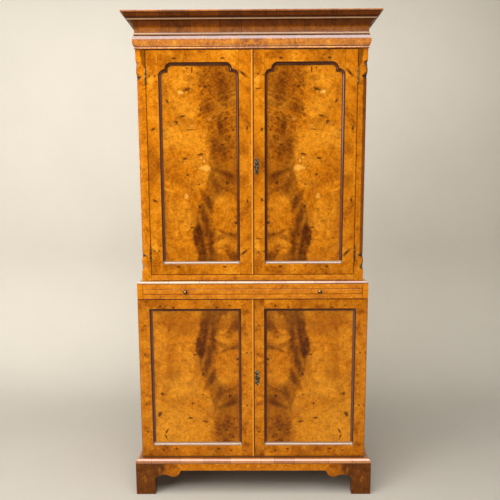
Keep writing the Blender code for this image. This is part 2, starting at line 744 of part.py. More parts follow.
def escutcheon(name, x, y_front, z):
    """A cast keyhole plate with a finial, shoulders, a waist and a tail."""
    half_outline = (
        (0.14, 0.92), (0.30, 0.78), (0.90, 0.66), (0.86, 0.46), (0.62, 0.30), (0.95, 0.08),
        (0.95, -0.16), (0.60, -0.40), (0.90, -0.60), (0.80, -0.78), (0.30, -0.86),
    )
    half_w, half_h = ESCUTCHEON_WIDTH / 2, ESCUTCHEON_HEIGHT / 2
    right = [(x + half_w * u, z + half_h * v) for u, v in half_outline]
    left = [(2 * x - u, v) for u, v in reversed(right)]
    loop = [(x, z + half_h)] + right + [(x, z - half_h)] + left
    return outline_board(
        name, [keyhole_loop(x, z)], FACING_FRONT, -y_front + GAP,
        -y_front + GAP + ESCUTCHEON_THICKNESS, BRASS, smooth_loops=[loop],
    )


def lock(door_name, frame, meeting_x, y_front, z):
    """A lock case let into the meeting edge of a right-hand door, its bolt and its keyhole."""
    near = y_front + LOCK_FROM_FRONT
    far = near + LOCK_THICKNESS
    low, high = z - LOCK_HEIGHT / 2, z + LOCK_HEIGHT / 2
    case = box(door_name + "_lock_case", (meeting_x, near, low), (meeting_x + LOCK_DEPTH, far, high), STEEL)
    cut(frame, box(
        door_name + "_lock_mortise", (meeting_x - OVERCUT, near - GAP, low - GAP),
        (meeting_x + LOCK_DEPTH + GAP, far + GAP, high + GAP),
    ))
    middle = (near + far) / 2
    half_y, half_z = BOLT_THICKNESS / 2, BOLT_HEIGHT / 2
    bolt_low = (meeting_x + GAP, middle - half_y, z - half_z)
    bolt_high = (meeting_x + GAP + BOLT_LENGTH, middle + half_y, z + half_z)
    cut(case, box(
        door_name + "_bolt_way", (meeting_x - OVERCUT, bolt_low[1] - GAP, bolt_low[2] - GAP),
        (bolt_high[0] + GAP, bolt_high[1] + GAP, bolt_high[2] + GAP),
    ))
    bolt = box(door_name + "_lock_bolt", bolt_low, bolt_high, BRASS)
    keyhole_x = meeting_x + ESCUTCHEON_BACKSET
    cut(frame, outline_board(
        door_name + "_keyhole", [keyhole_loop(keyhole_x, z)], FACING_FRONT,
        -near + GAP / 2, -y_front + OVERCUT,
    ))
    plate = escutcheon(door_name + "_escutcheon", keyhole_x, y_front, z)
    return case, bolt, plate


def bolt_pocket(door_name, frame, left_edge, y_front, z):
    """The pocket in a left-hand door that takes the other door's bolt."""
    middle = y_front + LOCK_FROM_FRONT + LOCK_THICKNESS / 2
    half_y = BOLT_THICKNESS / 2 + BOLT_POCKET_CLEARANCE
    half_z = BOLT_HEIGHT / 2 + BOLT_POCKET_CLEARANCE
    cut(frame, box(
        door_name + "_bolt_pocket", (left_edge - BOLT_TRAVEL, middle - half_y, z - half_z),
        (left_edge + OVERCUT, middle + half_y, z + half_z),
    ))


def butt_hinge(name, side, z, post, frame):
    """A three-knuckle butt hinge: a leaf with the pin on the post and a leaf on the door."""
    low, high = z - HINGE_LENGTH / 2, z + HINGE_LENGTH / 2
    third = HINGE_LENGTH / 3
    y_plate = Y_HINGE + KNUCKLE_RADIUS + GAP
    y_far = Y_HINGE + HINGE_STAND_OFF + HINGE_LEAF_WIDTH
    knuckles = {
        "post_leaf": ((low, low + third - GAP), (high - third + GAP, high)),
        "door_leaf": ((low + third + GAP, high - third - GAP),),
    }
    x_axis = side * X_HINGE
    leaves = []
    for kind, outward in (("post_leaf", side), ("door_leaf", -side)):
        near, far = sorted((x_axis + outward * GAP / 2, x_axis + outward * (GAP / 2 + HINGE_LEAF)))
        leaf = box(f"{name}_{kind}", (near, y_plate, low), (far, y_far, high), BRASS)
        for i, (start, end) in enumerate(knuckles[kind]):
            join(leaf, box(
                f"{name}_{kind}_tab_{i}", (near, Y_HINGE + PIN_RADIUS + 2 * GAP, start),
                (far, y_plate + GAP, end),
            ))
            join(leaf, rod(
                f"{name}_{kind}_knuckle_{i}", KNUCKLE_RADIUS, (x_axis, Y_HINGE, start), (x_axis, Y_HINGE, end)
            ))
        leaves.append(leaf)
        carcase = post if kind == "post_leaf" else frame
        cut(carcase, box(
            f"{name}_{kind}_recess", (near - GAP, Y_HINGE - OVERCUT, low - GAP),
            (far + GAP, y_far + GAP, high + GAP),
        ))
        cut(carcase, rod(
            f"{name}_{kind}_groove", KNUCKLE_RADIUS + 2 * GAP,
            (x_axis, Y_HINGE, low - GAP), (x_axis, Y_HINGE, high + GAP),
        ))
    pin_low, pin_high = (x_axis, Y_HINGE, low + GAP), (x_axis, Y_HINGE, high - GAP)
    join(leaves[0], rod(name + "_pin", PIN_RADIUS, pin_low, pin_high))
    cut(leaves[1], rod(
        name + "_pin_bore", PIN_RADIUS + GAP, (x_axis, Y_HINGE, low - GAP), (x_axis, Y_HINGE, high + GAP)
    ))
    return leaves[1]


def pivot(name, side, z_edge, outward, frame):
    """A pivot plate let into the top or bottom edge of a lower door, with its pin."""
    half = PIVOT_PLATE_WIDTH / 2
    outer = X_PIVOT + half
    near, far = sorted((side * outer, side * (outer - PIVOT_PLATE_LENGTH)))
    low, high = sorted((z_edge, z_edge - outward * PIVOT_PLATE))
    plate = box(name, (near, Y_PIVOT - half, low), (far, Y_PIVOT + half, high), BRASS)
    tip = z_edge + outward * (DOOR_GAP + PIVOT_ENTRY)
    join(plate, rod(
        name + "_pin", PIVOT_RADIUS,
        (side * X_PIVOT, Y_PIVOT, z_edge - outward * PIVOT_PLATE / 2), (side * X_PIVOT, Y_PIVOT, tip),
    ))
    recess_low, recess_high = sorted((z_edge + outward * OVERCUT, z_edge - outward * (PIVOT_PLATE + GAP)))
    cut(frame, box(
        name + "_recess", (near - GAP, Y_PIVOT - half - GAP, recess_low),
        (far + GAP, Y_PIVOT + half + GAP, recess_high),
    ))
    return plate


def door(name, side, hinge_x, meeting_x, z_low, height, y_front, stiles, rails, radius):
    """A framed door: frame with a rebate behind, panel and planted moulding."""
    z_high = z_low + height
    x0, x1 = sorted((hinge_x, meeting_x))
    left_stile, right_stile = stiles if side < 0 else reversed(stiles)
    open_x0, open_x1 = x0 + left_stile, x1 - right_stile
    open_z0, open_z1 = z_low + rails[0], z_high - rails[1]
    opening = panel_opening(open_x0, open_z0, open_x1, open_z1, radius)
    frame = outline_board(
        name + "_frame", [rectangle(x0, z_low, x1, z_high), opening], FACING_FRONT,
        -y_front - DOOR_THICKNESS, -y_front, BURR,
    )
    seat = y_front + FRAME_LIP
    grow = PANEL_REBATE
    cut(frame, box(
        name + "_rebate", (open_x0 - grow, seat, open_z0 - grow),
        (open_x1 + grow, y_front + DOOR_THICKNESS + OVERCUT, open_z1 + grow),
    ))
    grow -= GAP
    panel = box(
        name + "_panel", (open_x0 - grow, seat + GAP, open_z0 - grow),
        (open_x1 + grow, seat + GAP + PANEL_THICKNESS, open_z1 + grow), PANEL_BURR,
    )
    moulding = panel_moulding(name + "_moulding", opening, y_front)
    return frame, panel, moulding


def meeting_edges():
    """The meeting edges of the left and right doors."""
    return {-1: MEETING_OFFSET - MEETING_GAP / 2, 1: MEETING_OFFSET + MEETING_GAP / 2}


def meeting_stile(side, width):
    """The left doors' meeting stiles are wider, and the right doors' narrower, by the offset."""
    return width - side * MEETING_OFFSET


def upper_doors(posts):
    rails = (UPPER_BOTTOM_RAIL, UPPER_TOP_RAIL)
    lock_z = Z_UPPER_DOOR + UPPER_LOCK_RISE
    hinge_levels = {
        "top": Z_UPPER_DOOR + UPPER_DOOR_HEIGHT - HINGE_FROM_TOP,
        "bottom": Z_UPPER_DOOR + HINGE_FROM_BOTTOM,
    }
    for name, side, post in (("upper_left", -1, posts[0]), ("upper_right", 1, posts[1])):
        stiles = (UPPER_HINGE_STILE, meeting_stile(side, UPPER_MEETING_STILE))
        meeting_x = meeting_edges()[side]
        pieces = list(door(
            name + "_door", side, side * (X_PILASTER - DOOR_GAP), meeting_x, Z_UPPER_DOOR,
            UPPER_DOOR_HEIGHT, Y_UPPER_FRONT, stiles, rails, CUSP_RADIUS,
        ))
        frame = pieces[0]
        for level, z in hinge_levels.items():
            pieces.append(butt_hinge(f"{name}_hinge_{level}", side, z, post, frame))
        fit_lock(name + "_door", side, frame, pieces, meeting_x, Y_UPPER_FRONT, lock_z)
        carry(pivot_empty(name + "_door_axis", (side * X_HINGE, Y_HINGE, Z_UPPER_DOOR)), pieces)


def lower_doors():
    rails = (LOWER_BOTTOM_RAIL, LOWER_TOP_RAIL)
    lock_z = Z_LOWER_DOOR + LOWER_LOCK_RISE
    z_high = Z_LOWER_DOOR + LOWER_DOOR_HEIGHT
    for name, side in (("lower_left", -1), ("lower_right", 1)):
        stiles = (LOWER_HINGE_STILE, meeting_stile(side, LOWER_MEETING_STILE))
        meeting_x = meeting_edges()[side]
        pieces = list(door(
            name + "_door", side, side * X_LOWER, meeting_x, Z_LOWER_DOOR, LOWER_DOOR_HEIGHT,
            Y_LOWER_FRONT, stiles, rails, 0,
        ))
        frame = pieces[0]
        pieces.append(pivot(name + "_pivot_top", side, z_high, 1, frame))
        pieces.append(pivot(name + "_pivot_bottom", side, Z_LOWER_DOOR, -1, frame))
        fit_lock(name + "_door", side, frame, pieces, meeting_x, Y_LOWER_FRONT, lock_z)
        carry(pivot_empty(name + "_door_axis", (side * X_PIVOT, Y_PIVOT, Z_LOWER_DOOR)), pieces)


def fit_lock(name, side, frame, pieces, meeting_x, y_front, z):
    """A lock on a right-hand door, or the pocket for its bolt on a left-hand one."""
    if side < 0:
        bolt_pocket(name, frame, meeting_x, y_front, z)
    else:
        pieces.extend(lock(name, frame, meeting_x, y_front, z))


bracket_base()
base_moulding()
lower_carcase()
waist_moulding()
slide()
upper_carcase()
frieze()
cornice()
lower_doors()
upper_doors(pilasters())
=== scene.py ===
"""Looks of a two-stage burr veneered bar cabinet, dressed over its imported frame. Metres, +Z up,
front towards -Y. Each operator makes one group of pieces, and the last one sets the stage."""

import json
import math

import bmesh
import bpy
from bpy.props import FloatProperty, FloatVectorProperty, IntProperty, PointerProperty
from mathutils import Matrix, Vector


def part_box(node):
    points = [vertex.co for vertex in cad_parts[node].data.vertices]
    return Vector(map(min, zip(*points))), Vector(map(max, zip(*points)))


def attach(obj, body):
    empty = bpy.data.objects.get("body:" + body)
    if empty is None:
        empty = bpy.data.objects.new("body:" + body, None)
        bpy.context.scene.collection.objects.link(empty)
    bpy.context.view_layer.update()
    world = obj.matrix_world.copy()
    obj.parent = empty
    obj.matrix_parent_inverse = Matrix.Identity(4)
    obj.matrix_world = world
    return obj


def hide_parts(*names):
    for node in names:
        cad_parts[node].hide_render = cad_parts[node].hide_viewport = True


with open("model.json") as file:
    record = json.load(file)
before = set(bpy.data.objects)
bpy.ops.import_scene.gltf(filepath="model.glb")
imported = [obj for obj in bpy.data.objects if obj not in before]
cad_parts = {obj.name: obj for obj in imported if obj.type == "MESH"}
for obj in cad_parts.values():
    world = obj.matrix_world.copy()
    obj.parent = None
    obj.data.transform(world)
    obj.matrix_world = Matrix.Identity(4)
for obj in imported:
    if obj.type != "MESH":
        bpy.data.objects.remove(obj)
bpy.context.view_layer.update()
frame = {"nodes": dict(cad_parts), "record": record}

bl_info = {
    "name": "Burr Bar Cabinet",
    "version": (1, 0, 0),
    "blender": (4, 5, 0),
    "location": "View3D > Sidebar > Cabinet",
    "description": "Veneers, mouldings, brassware and stage for a two-stage bar cabinet",
    "category": "Object",
}

BODY_OF = {
    node: body for body, nodes in frame["record"]["behaviour"]["bodies"].items() for node in nodes
}
HANDS = {"left": -1, "right": 1}
DOORS = [f"{stage}_{hand}_door" for stage in ("upper", "lower") for hand in HANDS]


def low(node):
    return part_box(node)[0]


def high(node):
    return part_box(node)[1]


# Planes and levels read from the frame
X_BASE = high("base_right").x
X_LOWER = high("lower_side_right").x
X_UPPER = high("upper_side_right").x
X_LOWER_INNER = low("lower_side_right").x
X_UPPER_INNER = low("upper_side_right").x
X_PILASTER = low("pilaster_right").x
Y_BASE_FRONT = low("base_front").y
Y_LOWER_FRONT = low("lower_top").y
Y_UPPER_FRONT = low("pilaster_right").y
Y_BACK = high("upper_back").y
Z_SILL = high("lower_bottom").z
Z_TOP = high("cornice").z

# Members of the cornice, from the bottom up, and the bead under the frieze
CORNICE_BEAD = 0.009
CORNICE_QUIRK = 0.001
CORNICE_CAVETTO = 0.039
CORNICE_FILLET = 0.0075
CORNICE_TOP_FILLET = 0.0075
FRIEZE_BEAD = 0.008

# Fits that the frame's solids keep
SEAT_GAP = 0.0003
PANEL_TONGUE = 0.0077
CUSP_RADIUS = 0.025
MERGE = 1e-6
FLAT = math.radians(0.5)
SHARP = math.radians(40)
SMOOTH = math.radians(28)
ROUND = math.radians(35)


def srgb(red, green, blue):
    """A linear colour from screen values of 0 to 255."""
    shares = [value / 255 for value in (red, green, blue)]
    return [s / 12.92 if s <= 0.04045 else ((s + 0.055) / 1.055) ** 2.4 for s in shares]


def length(name, description, default):
    return FloatProperty(name=name, description=description, default=default, unit="LENGTH", precision=4)


def colour(name, description, *screen):
    return FloatVectorProperty(
        name=name, description=description, default=srgb(*screen), subtype="COLOR", min=0.0, max=1.0
    )


def number(name, description, default):
    return FloatProperty(name=name, description=description, default=default)


class CabinetSizes(bpy.types.PropertyGroup):
    """Sizes of the parts that only the looks have."""

    arris: length("Arris", "Rounding along the edges of boards and frames", 0.0007)
    glass_arris: length("Glass arris", "Ground edge of the glass shelves", 0.0009)
    moulding_arris: length("Moulding arris", "Rounding of the mouldings' corners", 0.0005)
    moulding_steps: IntProperty(
        name="Moulding steps", description="Facets in each curve of a moulding", default=18, min=4, max=64
    )
    bead_width: length("Bead width", "Width of the bead on the meeting edges", 0.0060)
    bead_rise: length("Bead rise", "How far that bead stands off the door", 0.0016)
    screw_head: length("Screw head", "Radius of a hinge screw's head", 0.0021)
    back_screw_head: length("Back screw head", "Radius of a back board screw's head", 0.0038)
    plate_rise: length("Plate rise", "Greatest relief of the cast keyhole plates", 0.0022)


class CabinetColours(bpy.types.PropertyGroup):
    """Colours of the finishes."""

    burr_light: colour("Burr light", "Palest figure of the burr", 234, 156, 36)
    burr_mid: colour("Burr middle", "Common ground of the burr", 203, 117, 4)
    burr_deep: colour("Burr deep", "Darker clouds of the burr", 146, 74, 2)
    # The heartwood tint is also laid, through browned(), as painted shade on the right post, the frieze's
    # top and the cornice's hollows.
    heart: colour("Heartwood", "Shade of the panels' browner hearts, laid over the figure", 178, 158, 120)
    streak: colour("Streak", "Dark line along the heartwood", 84, 40, 4)
    knot_and_notch_shade: colour("Knot", "Centres of knots and dashes", 58, 28, 8)
    # This colour also serves as painted shade in the cuts where the posts' chamfers stop.
    eye: colour("Eye", "Pale eyes in the burr", 246, 180, 72)
    foot: colour("Foot burr", "Brown burr of the feet", 108, 57, 12)
    band_light: colour("Band light", "Pale lengths of cross-banding", 192, 122, 62)
    band_dark: colour("Band dark", "Dark lengths of cross-banding", 150, 84, 34)
    cornice_light: colour("Cornice light", "Pale lengths of the cornice", 178, 98, 12)
    cornice_dark: colour("Cornice dark", "Dark lengths of the cornice", 92, 44, 4)
    # The waist colours are the moulding's cross-banded tones, paled as a painted highlight. The light one
    # is also the painted highlight on the cornice's fillets and the panel mouldings' bottom members; the
    # dark one is also a faint painted sheen on their outer members.
    waist_light_and_highlight: colour("Waist light", "Pale lengths of the waist moulding", 202, 166, 126)
    waist_dark_and_highlight: colour("Waist dark", "Dark lengths of the waist moulding", 158, 105, 79)
    # This colour also draws the painted shade lines in the quirks and in the gaps round the doors and
    # boards.
    joint_and_shade: colour("Joint", "Glue lines between lengths of veneer", 70, 34, 12)
    planted: colour("Planted moulding", "Brown wood round the panels", 104, 50, 12)
    planted_deep: colour("Planted moulding deep", "Darkest streaks of that wood", 60, 26, 5)
    carcase: colour("Carcase", "Inside boards", 150, 92, 50)
    carcase_deep: colour("Carcase deep", "Grain lines of the inside boards", 98, 54, 26)
    brass: colour("Brass", "Rubbed brass", 186, 158, 104)
    plate: colour("Keyhole plate", "Dull cast metal of the keyhole plates", 186, 172, 142)
    tarnish: colour("Tarnish", "Brown film on brass", 66, 50, 32)
    steel: colour("Steel", "Lock steel", 150, 148, 142)
    glass: colour("Glass", "Tint of the glass shelves", 236, 246, 242)
    floor: colour("Floor", "Pale floor and backdrop", 178, 172, 160)


class CabinetStage(bpy.types.PropertyGroup):
    """Camera and lights."""

    camera_height: length("Camera height", "Height of the lens", 1.256)
    camera_back: length("Camera distance", "Distance of the lens in front of the origin", 2.153)
    camera_side: length("Camera shift", "Lens to the right of the middle", 0.003)
    camera_pitch: number("Camera pitch", "Degrees that the lens looks down", 7.19)
    camera_turn: number("Camera turn", "Degrees that the lens looks to the left", 0.36)
    camera_roll: number("Camera roll", "Degrees that the camera leans", -0.27)
    top_power: number("Top light", "Watts of the light overhead", 228.0)
    key_power: number("Key light", "Watts of the light at the upper left", 62.0)
    fill_power: number("Fill light", "Watts of the low light in front", 11.0)
    air: number("Air", "Strength of the even light from all round", 0.15)


def sizes():
    return bpy.context.scene.cabinet_sizes


def paint(name):
    """A colour of the cabinet, with its alpha."""
    return (*getattr(bpy.context.scene.cabinet_colours, name), 1.0)


# Node building

class Nodes:
    """Adds nodes to one tree. An input given as a socket is linked, and anything else is its value."""

    def __init__(self, tree):
        self.tree = tree

    def add(self, kind, inputs=None, **settings):
        made = self.tree.nodes.new(kind)
        for key, value in settings.items():
            setattr(made, key, value)
        for key, value in (inputs or {}).items():
            self.feed(made.inputs[key], value)
        return made

    def feed(self, socket, value):
        if isinstance(value, bpy.types.NodeSocket):
            self.tree.links.new(value, socket)
        else:
            socket.default_value = value

    def math(self, operation, first, second=0.0, third=0.0, clamp=False):
        inputs = {0: first, 1: second, 2: third}
        return self.add("ShaderNodeMath", inputs, operation=operation, use_clamp=clamp).outputs[0]

    def total(self, *values):
        result = values[0]
        for value in values[1:]:
            result = self.math("ADD", result, value)
        return result

    def product(self, *values):
        result = values[0]
        for value in values[1:]:
            result = self.math("MULTIPLY", result, value)
        return result

    def minus(self, first, second):
        return self.math("SUBTRACT", first, second)

    def absolute(self, value):
        return self.math("ABSOLUTE", value)

    def gap(self, first, second):
        """How far two values lie apart."""
        return self.absolute(self.minus(first, second))

    def over(self, value, limit):
        return self.math("GREATER_THAN", value, limit)

    def under(self, value, limit):
        return self.math("LESS_THAN", value, limit)

    def vector(self, operation, first, second=(0.0, 0.0, 0.0)):
        return self.add("ShaderNodeVectorMath", {0: first, 1: second}, operation=operation).outputs[0]

    def scaled(self, vector, factor):
        made = self.add("ShaderNodeVectorMath", {0: vector, "Scale": factor}, operation="SCALE")
        return made.outputs[0]

    def length(self, vector):
        return self.add("ShaderNodeVectorMath", {0: vector}, operation="LENGTH").outputs["Value"]

    def combine(self, x, y, z):
        return self.add("ShaderNodeCombineXYZ", {0: x, 1: y, 2: z}).outputs[0]

    def noise(self, vector, scale, detail=2.0, roughness=0.5, distortion=0.0):
        inputs = {
            "Vector": vector, "Scale": scale, "Detail": detail, "Roughness": roughness,
            "Distortion": distortion,
        }
        return self.add("ShaderNodeTexNoise", inputs).outputs[0]

    def noise_colour(self, vector, scale, detail):
        inputs = {"Vector": vector, "Scale": scale, "Detail": detail}
        return self.add("ShaderNodeTexNoise", inputs).outputs[1]

    def step(self, value, start, end):
        """0 before start and 1 after end, smooth between; start may be the larger."""
        inputs = {"Value": value, "From Min": start, "From Max": end}
        made = self.add("ShaderNodeMapRange", inputs, interpolation_type="SMOOTHSTEP")
        return made.outputs[0]

    def spread(self, value, start, end):
        """A share of 0 to 1 as a value between start and end."""
        return self.add("ShaderNodeMapRange", {"Value": value, "To Min": start, "To Max": end}).outputs[0]

    def mix(self, share, first, second, blend="MIX"):
        made = self.add(
            "ShaderNodeMix", {0: share, 6: first, 7: second}, data_type="RGBA", blend_type=blend
        )
        return made.outputs[2]

    def lay(self, base, mask, strength, ink):
        """A colour laid over another one where a mask shows it."""
        return self.mix(self.product(mask, strength), base, ink)

    def choose(self, share, first, second):
        """A mix of two values."""
        return self.add("ShaderNodeMix", {0: share, 2: first, 3: second}, data_type="FLOAT").outputs[0]

    def choose_vector(self, share, first, second):
        return self.add("ShaderNodeMix", {0: share, 4: first, 5: second}, data_type="VECTOR").outputs[1]

    def curve(self, value, points):
        """A value read from a curve through points that lie between 0 and 1."""
        made = self.add("ShaderNodeFloatCurve", {"Value": value})
        line = made.mapping.curves[0]
        while len(line.points) < len(points):
            line.points.new(0.5, 0.5)
        for handle, place in zip(line.points, points):
            handle.location = place
            handle.handle_type = "AUTO_CLAMPED"
        made.mapping.update()
        return made.outputs[0]

    def group(self, name, inputs):
        return self.add("ShaderNodeGroup", inputs, node_tree=bpy.data.node_groups[name]).outputs

    def place(self):
        return self.add("ShaderNodeTexCoord").outputs["Object"]

    def axes(self):
        return tuple(self.add("ShaderNodeSeparateXYZ", {0: self.place()}).outputs)


FLOAT, VECTOR, COLOUR = "NodeSocketFloat", "NodeSocketVector", "NodeSocketColor"


def start_group(name, inputs, outputs):
    """A new shader group; inputs are (name, kind, default) and outputs are (name, kind)."""
    tree = bpy.data.node_groups.new(name, "ShaderNodeTree")
    for label, kind, default in inputs:
        socket = tree.interface.new_socket(name=label, in_out="INPUT", socket_type=kind)
        socket.default_value = default
    for label, kind in outputs:
        tree.interface.new_socket(name=label, in_out="OUTPUT", socket_type=kind)
    n = Nodes(tree)
    return n, n.add("NodeGroupInput").outputs, n.add("NodeGroupOutput").inputs


ORIGIN = (0.0, 0.0, 0.0)
HALF = (0.5, 0.5, 0.5)
WHITE = (1.0, 1.0, 1.0, 1.0)


def burr_figure_group():
    """Curling clouds of burr: the ground colour, and the figure as a value."""
    n, given, out = start_group(
        "Burr Figure",
        [("Vector", VECTOR, ORIGIN), ("Cloud Scale", FLOAT, 24.0), ("Warp", FLOAT, 0.05),
         ("Light", COLOUR, WHITE), ("Middle", COLOUR, WHITE), ("Deep", COLOUR, WHITE)],
        [("Color", COLOUR), ("Figure", FLOAT)],
    )
    drift = n.vector("SUBTRACT", n.noise_colour(given["Vector"], 11.0, 3.0), HALF)
    curled = n.vector("ADD", given["Vector"], n.scaled(drift, given["Warp"]))
    cloud = n.noise(curled, given["Cloud Scale"], 4.0, 0.6)
    curl = n.noise(curled, n.product(given["Cloud Scale"], 4.6), 4.0, 0.66, 1.1)
    growth = n.noise(curled, n.product(given["Cloud Scale"], 1.5), 1.5)
    rings = n.math("SINE", n.product(growth, 64.0))
    fleck = n.noise(given["Vector"], 380.0, 2.0, 0.7)
    figure = n.total(
        n.product(cloud, 0.40), n.product(curl, 0.42), n.product(rings, 0.022), n.product(fleck, 0.18)
    )
    ground = n.mix(n.step(figure, 0.36, 0.52), given["Deep"], given["Middle"])
    n.feed(out["Color"], n.mix(n.step(figure, 0.50, 0.66), ground, given["Light"]))
    n.feed(out["Figure"], figure)


def burr_pips_group():
    """Scattered pin knots: a dark core and a pale halo round it."""
    n, given, out = start_group(
        "Burr Pips",
        [("Vector", VECTOR, ORIGIN), ("Spacing", FLOAT, 0.03), ("Share", FLOAT, 0.5),
         ("Radius", FLOAT, 0.0023)],
        [("Core", FLOAT), ("Halo", FLOAT)],
    )
    rag = n.vector("SUBTRACT", n.noise_colour(given["Vector"], 150.0, 2.0), HALF)
    ragged = n.vector("ADD", given["Vector"], n.scaled(rag, 0.005))
    cells = n.add("ShaderNodeTexVoronoi", {
        "Vector": ragged, "Scale": n.math("DIVIDE", 1.0, given["Spacing"]), "Randomness": 1.0,
    })
    chance = n.add("ShaderNodeSeparateColor", {0: cells.outputs["Color"]}).outputs
    there = n.under(chance[0], given["Share"])
    distance = n.product(cells.outputs["Distance"], given["Spacing"])
    radius = n.product(given["Radius"], n.spread(chance[1], 0.5, 1.5))
    core = n.step(distance, radius, n.product(radius, 0.35))
    halo = n.step(distance, n.product(radius, 3.2), n.product(radius, 1.1))
    n.feed(out["Core"], n.product(core, there))
    n.feed(out["Halo"], n.product(halo, there, n.minus(1.0, core)))


def veneer_mark_group():
    """One placed mark: an ellipse with a ragged edge."""
    n, given, out = start_group(
        "Veneer Mark",
        [("Vector", VECTOR, ORIGIN), ("Centre", VECTOR, ORIGIN), ("Angle", FLOAT, 0.0),
         ("Half Length", FLOAT, 0.01), ("Half Width", FLOAT, 0.004), ("Rag", FLOAT, 0.5),
         ("Softness", FLOAT, 0.5)],
        [("Mask", FLOAT)],
    )
    away = n.vector("SUBTRACT", given["Vector"], given["Centre"])
    turned = n.add("ShaderNodeVectorRotate", {
        "Vector": away, "Angle": n.product(given["Angle"], -1.0),
    }, rotation_type="Z_AXIS").outputs[0]
    shape = n.combine(given["Half Length"], given["Half Width"], 1.0)
    reach = n.length(n.vector("DIVIDE", turned, shape))
    ragged = n.total(reach, n.product(n.minus(given["Rag"], 0.5), 1.1))
    edge = n.total(1.0, given["Softness"])
    n.feed(out["Mask"], n.step(ragged, edge, n.minus(1.0, given["Softness"])))


def lacquer_group():
    """Rubbed lacquer: its roughness, and the slight waves and pores of its surface."""
    n, given, out = start_group(
        "Lacquer", [("Vector", VECTOR, ORIGIN), ("Gloss", FLOAT, 0.17)],
        [("Roughness", FLOAT), ("Height", FLOAT)],
    )
    rubbed = n.noise(given["Vector"], 9.0, 3.0, 0.6)
    n.feed(out["Roughness"], n.product(given["Gloss"], n.spread(rubbed, 0.7, 1.4)))
    waves = n.noise(given["Vector"], 26.0, 1.0)
    pores = n.noise(given["Vector"], 700.0, 1.0, 0.6)
    n.feed(out["Height"], n.total(n.product(waves, 0.8), n.product(pores, 0.12)))


def cross_band_group():
    """Lengths of cross-grained veneer along a moulding: tone, joints and grain."""
    n, given, out = start_group(
        "Cross Banding",
        [("Along", FLOAT, 0.0), ("Vector", VECTOR, ORIGIN), ("Length", FLOAT, 0.1), ("Seed", FLOAT, 0.0)],
        [("Tone", FLOAT), ("Joint", FLOAT), ("Grain", FLOAT)],
    )
    spot = n.total(n.math("DIVIDE", given["Along"], given["Length"]), given["Seed"])
    cells, edges = [
        n.add("ShaderNodeTexVoronoi", {"W": spot, "Scale": 1.0}, voronoi_dimensions="1D", feature=feature)
        for feature in ("F1", "DISTANCE_TO_EDGE")
    ]
    n.feed(out["Tone"], n.add("ShaderNodeSeparateColor", {0: cells.outputs["Color"]}).outputs[0])
    gap = n.product(edges.outputs["Distance"], given["Length"])
    n.feed(out["Joint"], n.step(gap, 0.0016, 0.0006))
    fine = n.vector("MULTIPLY", given["Vector"], (1.0, 1.0, 0.3))
    lines = n.noise(fine, 240.0, 3.0, 0.65)
    mottle = n.noise(given["Vector"], 44.0, 4.0, 0.62, 0.6)
    n.feed(out["Grain"], n.total(n.product(lines, 0.4), n.product(mottle, 0.6)))


def board_grain_group():
    """Straight grain along a board: soft bands, fine lines and pores."""
    n, given, out = start_group(
        "Board Grain",
        [("Vector", VECTOR, ORIGIN), ("Stretch", VECTOR, (1.0, 1.0, 0.06))],
        [("Figure", FLOAT), ("Height", FLOAT)],
    )
    along = n.vector("MULTIPLY", given["Vector"], given["Stretch"])
    bands = n.noise(along, 34.0, 3.0, 0.55, 0.6)
    lines = n.noise(along, 420.0, 2.0, 0.6)
    n.feed(out["Figure"], n.total(n.product(bands, 0.65), n.product(lines, 0.4)))
    n.feed(out["Height"], lines)


def aged_metal_group():
    """Handled metal: where it is rubbed bright, its roughness and its small dents."""
    n, given, out = start_group(
        "Aged Metal", [("Vector", VECTOR, ORIGIN), ("Tarnish", FLOAT, 0.5)],
        [("Film", FLOAT), ("Roughness", FLOAT), ("Height", FLOAT)],
    )
    patches = n.noise(given["Vector"], 130.0, 4.0, 0.65)
    start = n.minus(0.9, given["Tarnish"])
    film = n.step(patches, n.minus(start, 0.14), n.total(start, 0.14))
    n.feed(out["Film"], film)
    scuffs = n.noise(given["Vector"], 900.0, 2.0, 0.7)
    n.feed(out["Roughness"], n.total(n.spread(film, 0.24, 0.42), n.product(scuffs, 0.12)))
    n.feed(out["Height"], n.total(n.product(patches, 0.5), n.product(scuffs, 0.3)))


GROUPS = (
    burr_figure_group, burr_pips_group, veneer_mark_group, lacquer_group, cross_band_group,
    board_grain_group, aged_metal_group,
)


# Finishes

INPUT_NAMES = {"specular_ior_level": "Specular IOR Level", "ior": "IOR", "coat_ior": "Coat IOR"}


def start_finish(name, polish=(), **changes):
    """A new material, its node builder and its Principled shader, with the shader's fixed values set:
    those of a polish, and what this finish changes in them."""
    made = bpy.data.materials.new(name)
    made.use_nodes = True
    shader = made.node_tree.nodes["Principled BSDF"]
    for key, value in {**dict(polish), **changes}.items():
        shader.inputs[INPUT_NAMES.get(key, key.replace("_", " ").title())].default_value = value
    return made, Nodes(made.node_tree), shader


def lacquered(n, shader, base, gloss=0.17, depth=0.0004):
    """Links a colour under rubbed lacquer."""
    shine = n.group("Lacquer", {"Vector": n.place(), "Gloss": gloss})
    relief = n.add("ShaderNodeBump", {"Strength": 0.35, "Distance": depth, "Height": shine["Height"]})
    n.feed(shader.inputs["Base Color"], base)
    n.feed(shader.inputs["Roughness"], shine["Roughness"])
    n.feed(shader.inputs["Normal"], relief.outputs[0])


# Polishes: the doors' and carcase's thin one, and that of the mouldings
COAT = {"specular_ior_level": 0.10, "coat_weight": 0.12, "coat_roughness": 0.05}
HIGH_GLOSS = {"specular_ior_level": 0.4, "coat_weight": 0.85, "coat_roughness": 0.08, "coat_ior": 1.9}


